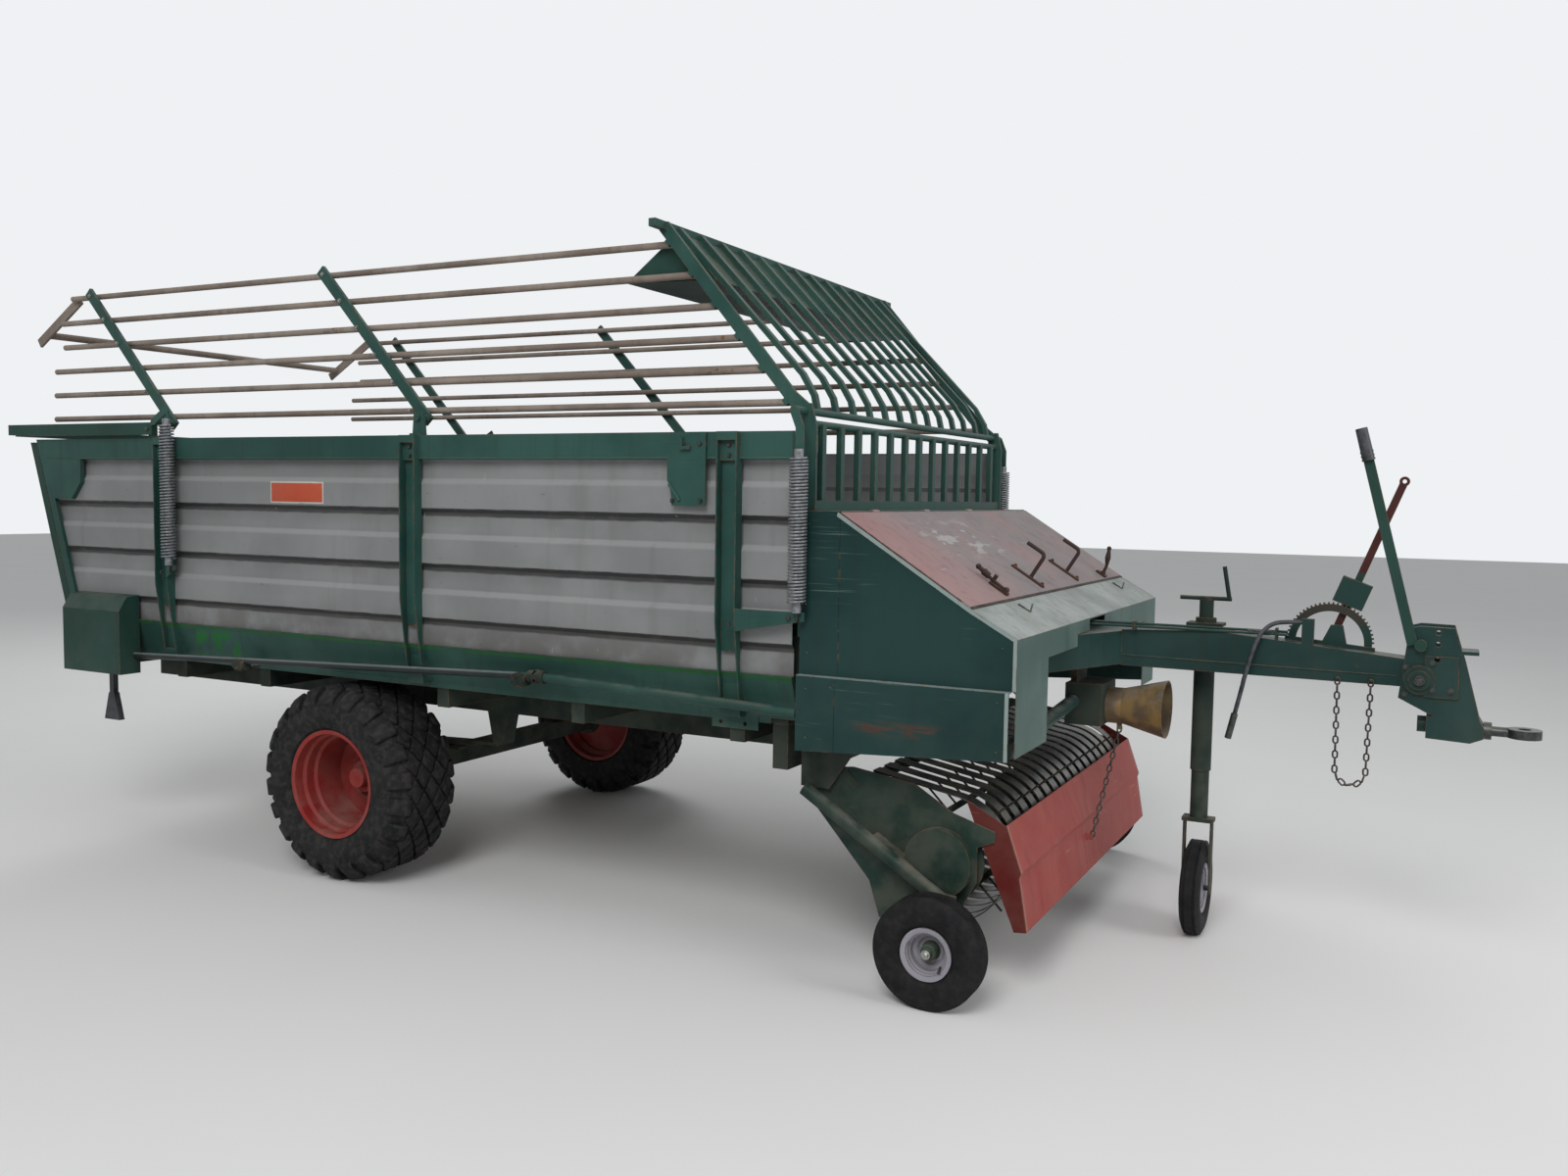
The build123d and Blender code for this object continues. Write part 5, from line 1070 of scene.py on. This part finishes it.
def drawbar_fittings():
    """Weld seams of the two channels, the turnbuckle on the brake rod, and the hitch's bolts."""
    shape = bmesh.new()
    for side in (-1, 1):
        add_rod(shape, (at(3.059), side * 0.0600, 1.081), (at(4.002), side * 0.0600, 1.073), 0.0028, 8)
    add_piece("drawbar_welds", shape, "drawbar_green_paint", "chassis", 60)
    shape = bmesh.new()
    for start, end, radius in (((3.520, -0.0398, 1.1966), (3.590, -0.0347, 1.1962), 0.0095),
                               ((3.505, -0.0409, 1.1967), (3.518, -0.0400, 1.1966), 0.0080),
                               ((3.592, -0.0345, 1.1962), (3.605, -0.0336, 1.1961), 0.0080)):
        add_rod(shape, *((at(x), y, z) for x, y, z in (start, end)), radius, 6)
    along_sides(shape, add_bolt, ((4.112, 1.036), (4.112, 1.128), (4.170, 1.036)), 0.0831, 0.012, 0.009,
                sides=(-1,))
    along_sides(shape, add_bolt, ((4.073, 1.067),), 0.1121, 0.016, 0.006)
    along_sides(shape, add_bolt, ((4.030, 1.015), (4.030, 1.108)), 0.0751, 0.011, 0.008)
    add_piece("drawbar_bolts", shape, "greased_steel", "chassis", 30)


def drive_bearings():
    """The side shaft's two bolted bearings, and the yokes and cross of its joint."""
    y = -SHAFT_OUT
    shape = bmesh.new()
    for x, z in ((-0.570, 0.8855), (0.992, 0.9430)):
        add_block(shape, (at(x), y, z), (0.046, 0.046, 0.050), 0.004)
        add_rod(shape, (at(x - 0.036), y, z), (at(x + 0.036), y, z + 0.001), 0.0225, 18)
        along_sides(shape, add_bolt, ((x, z - 0.016), (x, z + 0.016)), SHAFT_OUT + 0.0230, 0.0075, 0.005,
                    sides=(-1,))
    joint_x, joint_z = 1.070, 0.961
    add_rod(shape, (at(1.036), y, 0.960), (at(1.062), y, joint_z), 0.0235, 18)
    add_rod(shape, (at(1.078), y, joint_z), (at(1.108), y, 0.960), 0.0245, 18)
    add_rod(shape, (at(joint_x), y - 0.027, joint_z), (at(joint_x), y + 0.020, joint_z), 0.0080)
    add_rod(shape, (at(joint_x), y, joint_z - 0.026), (at(joint_x), y, joint_z + 0.026), 0.0080)
    add_piece("drive_bearings", shape, "chassis_dark", "chassis", 40)


def lever_grip():
    """Black sleeve pushed over the end of the lift lever, with three rings at its lower end."""
    foot, tip = Vector((at(4.047), -0.088, 1.187)), Vector((at(3.856), -0.100, 1.925))
    sleeve_start, sleeve_end = 0.852, 1.001                  # shares of the way from foot to tip
    along = (tip - foot).normalized()
    shape = bmesh.new()
    add_rod(shape, foot.lerp(tip, sleeve_start), foot.lerp(tip, sleeve_end), 0.0205, 20, 0.0195)
    for index in range(3):
        near = foot.lerp(tip, sleeve_start + 0.018 * index)
        add_rod(shape, near, near + along * 0.006, 0.0218, 20)
    add_piece("lever_grip", shape, "black_rubber", "chassis", 40)


def wheel_fittings():
    """Studs, hub nuts and tyre valves of the main and gauge wheels."""
    studs, circle, first, stud_out = 5, 0.098, 0.3, 0.864
    for label, side in SIDES:
        shape = bmesh.new()
        for index in range(studs):
            angle = math.tau * (index + first) / studs
            spot = (circle * math.cos(angle), WHEEL_RADIUS + circle * math.sin(angle))
            along_sides(shape, add_bolt, (spot,), stud_out, 0.014, 0.012, sides=(side,))
        add_rod(shape, (at(0.150), side * 0.905, 0.540), (at(0.158), side * 0.962, 0.546), 0.0045, 10)
        add_piece(f"wheel_studs_{label}", shape, "rim_red", f"wheel_{label}", 30)
        shape = bmesh.new()
        hub = Vector((at(GAUGE_X), side * 1.1361, GAUGE_RADIUS))
        add_bolt(shape, hub, (0, side, 0), 0.016, 0.010)
        add_rod(shape, hub, hub + Vector((0, side * 0.0135, 0)), 0.0055)
        add_piece(f"gauge_nut_{label}", shape, "bright_bolt", f"gauge_wheel_{label}", 30)
        shape = bmesh.new()
        add_rod(shape, (at(2.743), side * 1.112, 0.146), (at(2.748), side * 1.140, 0.141), 0.0042, 10)
        add_rod(shape, (at(2.748), side * 1.139, 0.141), (at(2.749), side * 1.146, 0.140), 0.0055, 10)
        add_piece(f"gauge_valve_{label}", shape, "black_rubber", f"gauge_wheel_{label}", 40)


def roof_pins():
    """Pin heads where the rods cross the arms of the hay frame, and a larger one at each arm's pivot."""
    top, low, rods = Vector((-0.571, 0.612)), Vector((-0.085, 0.034)), 6         # from the pivot, as (x, z)
    for body, pivot in ARM_PIVOTS.items():
        crossings = [top.lerp(low, index / (rods - 1)) for index in range(rods)]
        shape = bmesh.new()
        along_sides(shape, add_bolt, [(pivot + x, ARM_PIVOT_Z + z) for x, z in crossings], ARM_OUT,
                    0.010, 0.006)
        along_sides(shape, add_bolt, ((pivot, ARM_PIVOT_Z),), ARM_OUT, 0.015, 0.008)
        add_piece(f"{body}_pins", shape, "bare_steel", body, 30)


# Hose

def hydraulic_hose():
    """The route repeats the corners of the CAD hose; the spline runs smoothly through between them."""
    route = ((3.690, -0.045, 1.240), (3.640, -0.045, 1.240), (3.588, -0.062, 1.232), (3.552, -0.086, 1.192),
             (3.530, -0.100, 1.126), (3.512, -0.104, 1.052), (3.497, -0.104, 0.975), (3.480, -0.102, 0.900))
    curve = bpy.data.curves.new("hose", "CURVE")
    curve.dimensions = "3D"
    line = curve.splines.new("NURBS")
    line.points.add(len(route) - 1)
    for point, (x, y, z) in zip(line.points, route):
        point.co = (at(x), y, z, 1)
    line.order_u = 3
    line.use_endpoint_u = True
    line.resolution_u = 12
    curve.bevel_depth = 0.008
    curve.bevel_resolution = 4
    curve.materials.append(FINISHES["black_rubber"])
    hose = link_up(bpy.data.objects.new("hose", curve))
    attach(hose, "chassis")
    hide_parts("hydraulic_hose")


# Finishes of the CAD pieces

NODE_FINISH = {
    "body_green_paint": ("wall_frames",),
    "roof_green_paint": ("roof_arms_middle", "roof_arms_rear", "roof_front_frame", "lower_grille"),
    "dark_green_paint": ("tailgate_frame", "roof_visor", "drive_guard", "lift_lever", "housing_top"),
    "pickup_green_paint": ("pickup_frame",),
    "housing_green_paint": ("housing_sides",),
    "floor_drive_paint": ("floor_drive_shaft",),
    "drawbar_green_paint": ("drawbar", "hitch_head", "cross_drive_tube"),
    "pale_green_paint": ("housing_front",),
    "faded_red_lid": ("hood_lid",),
    "wind_guard_red": ("wind_guard",),
    "rim_red": ("wheel_left_rim", "wheel_right_rim"),
    "rim_silver": ("gauge_wheel_left_rim", "gauge_wheel_right_rim", "jack_wheel_rim"),
    "rod_brown": tuple(f"roof_rod_{index}" for index in range(1, 7)),
    "chassis_dark": ("axle", "main_frame", "gearbox", "tine_reel", "feed_rotor", "front_frame", "jack_leg"),
    "brake_paint": ("brake_linkage",),
    "lever_rust": ("hood_handles",),
    "wall_grey": ("side_walls", "tailgate_panel"),
    "bare_steel": ("feed_channel",),
    "greased_steel": ("drawbar_eye", "hose_coupling"),
    "band_zinc": ("pickup_bands",),
    "chain_rust": ("scraper_floor",),
    "black_rubber": ("rear_flaps",),
    "floor_boards": ("load_floor",),
    "guard_plastic": ("pto_shield",),
}


def dress_cad_pieces():
    for finish, nodes in NODE_FINISH.items():
        for name in nodes:
            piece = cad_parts[name]
            if piece.material_slots:
                for held in piece.material_slots:
                    held.material = FINISHES[finish]
            else:
                piece.data.materials.append(FINISHES[finish])


bpy.context.scene.view_settings.view_transform = "Standard"
photograph_camera()
for make in (make_edge_wear, make_weather, make_grain, make_finishes, studio, hydraulic_hose,
             dress_cad_pieces, main_tyres, small_tyres, springs, chains, body_bolts, rail_lips, name_plate,
             lid_fittings, housing_screws, drawbar_fittings, drive_bearings, lever_grip, wheel_fittings,
             roof_pins, spring_hooks):
    make()
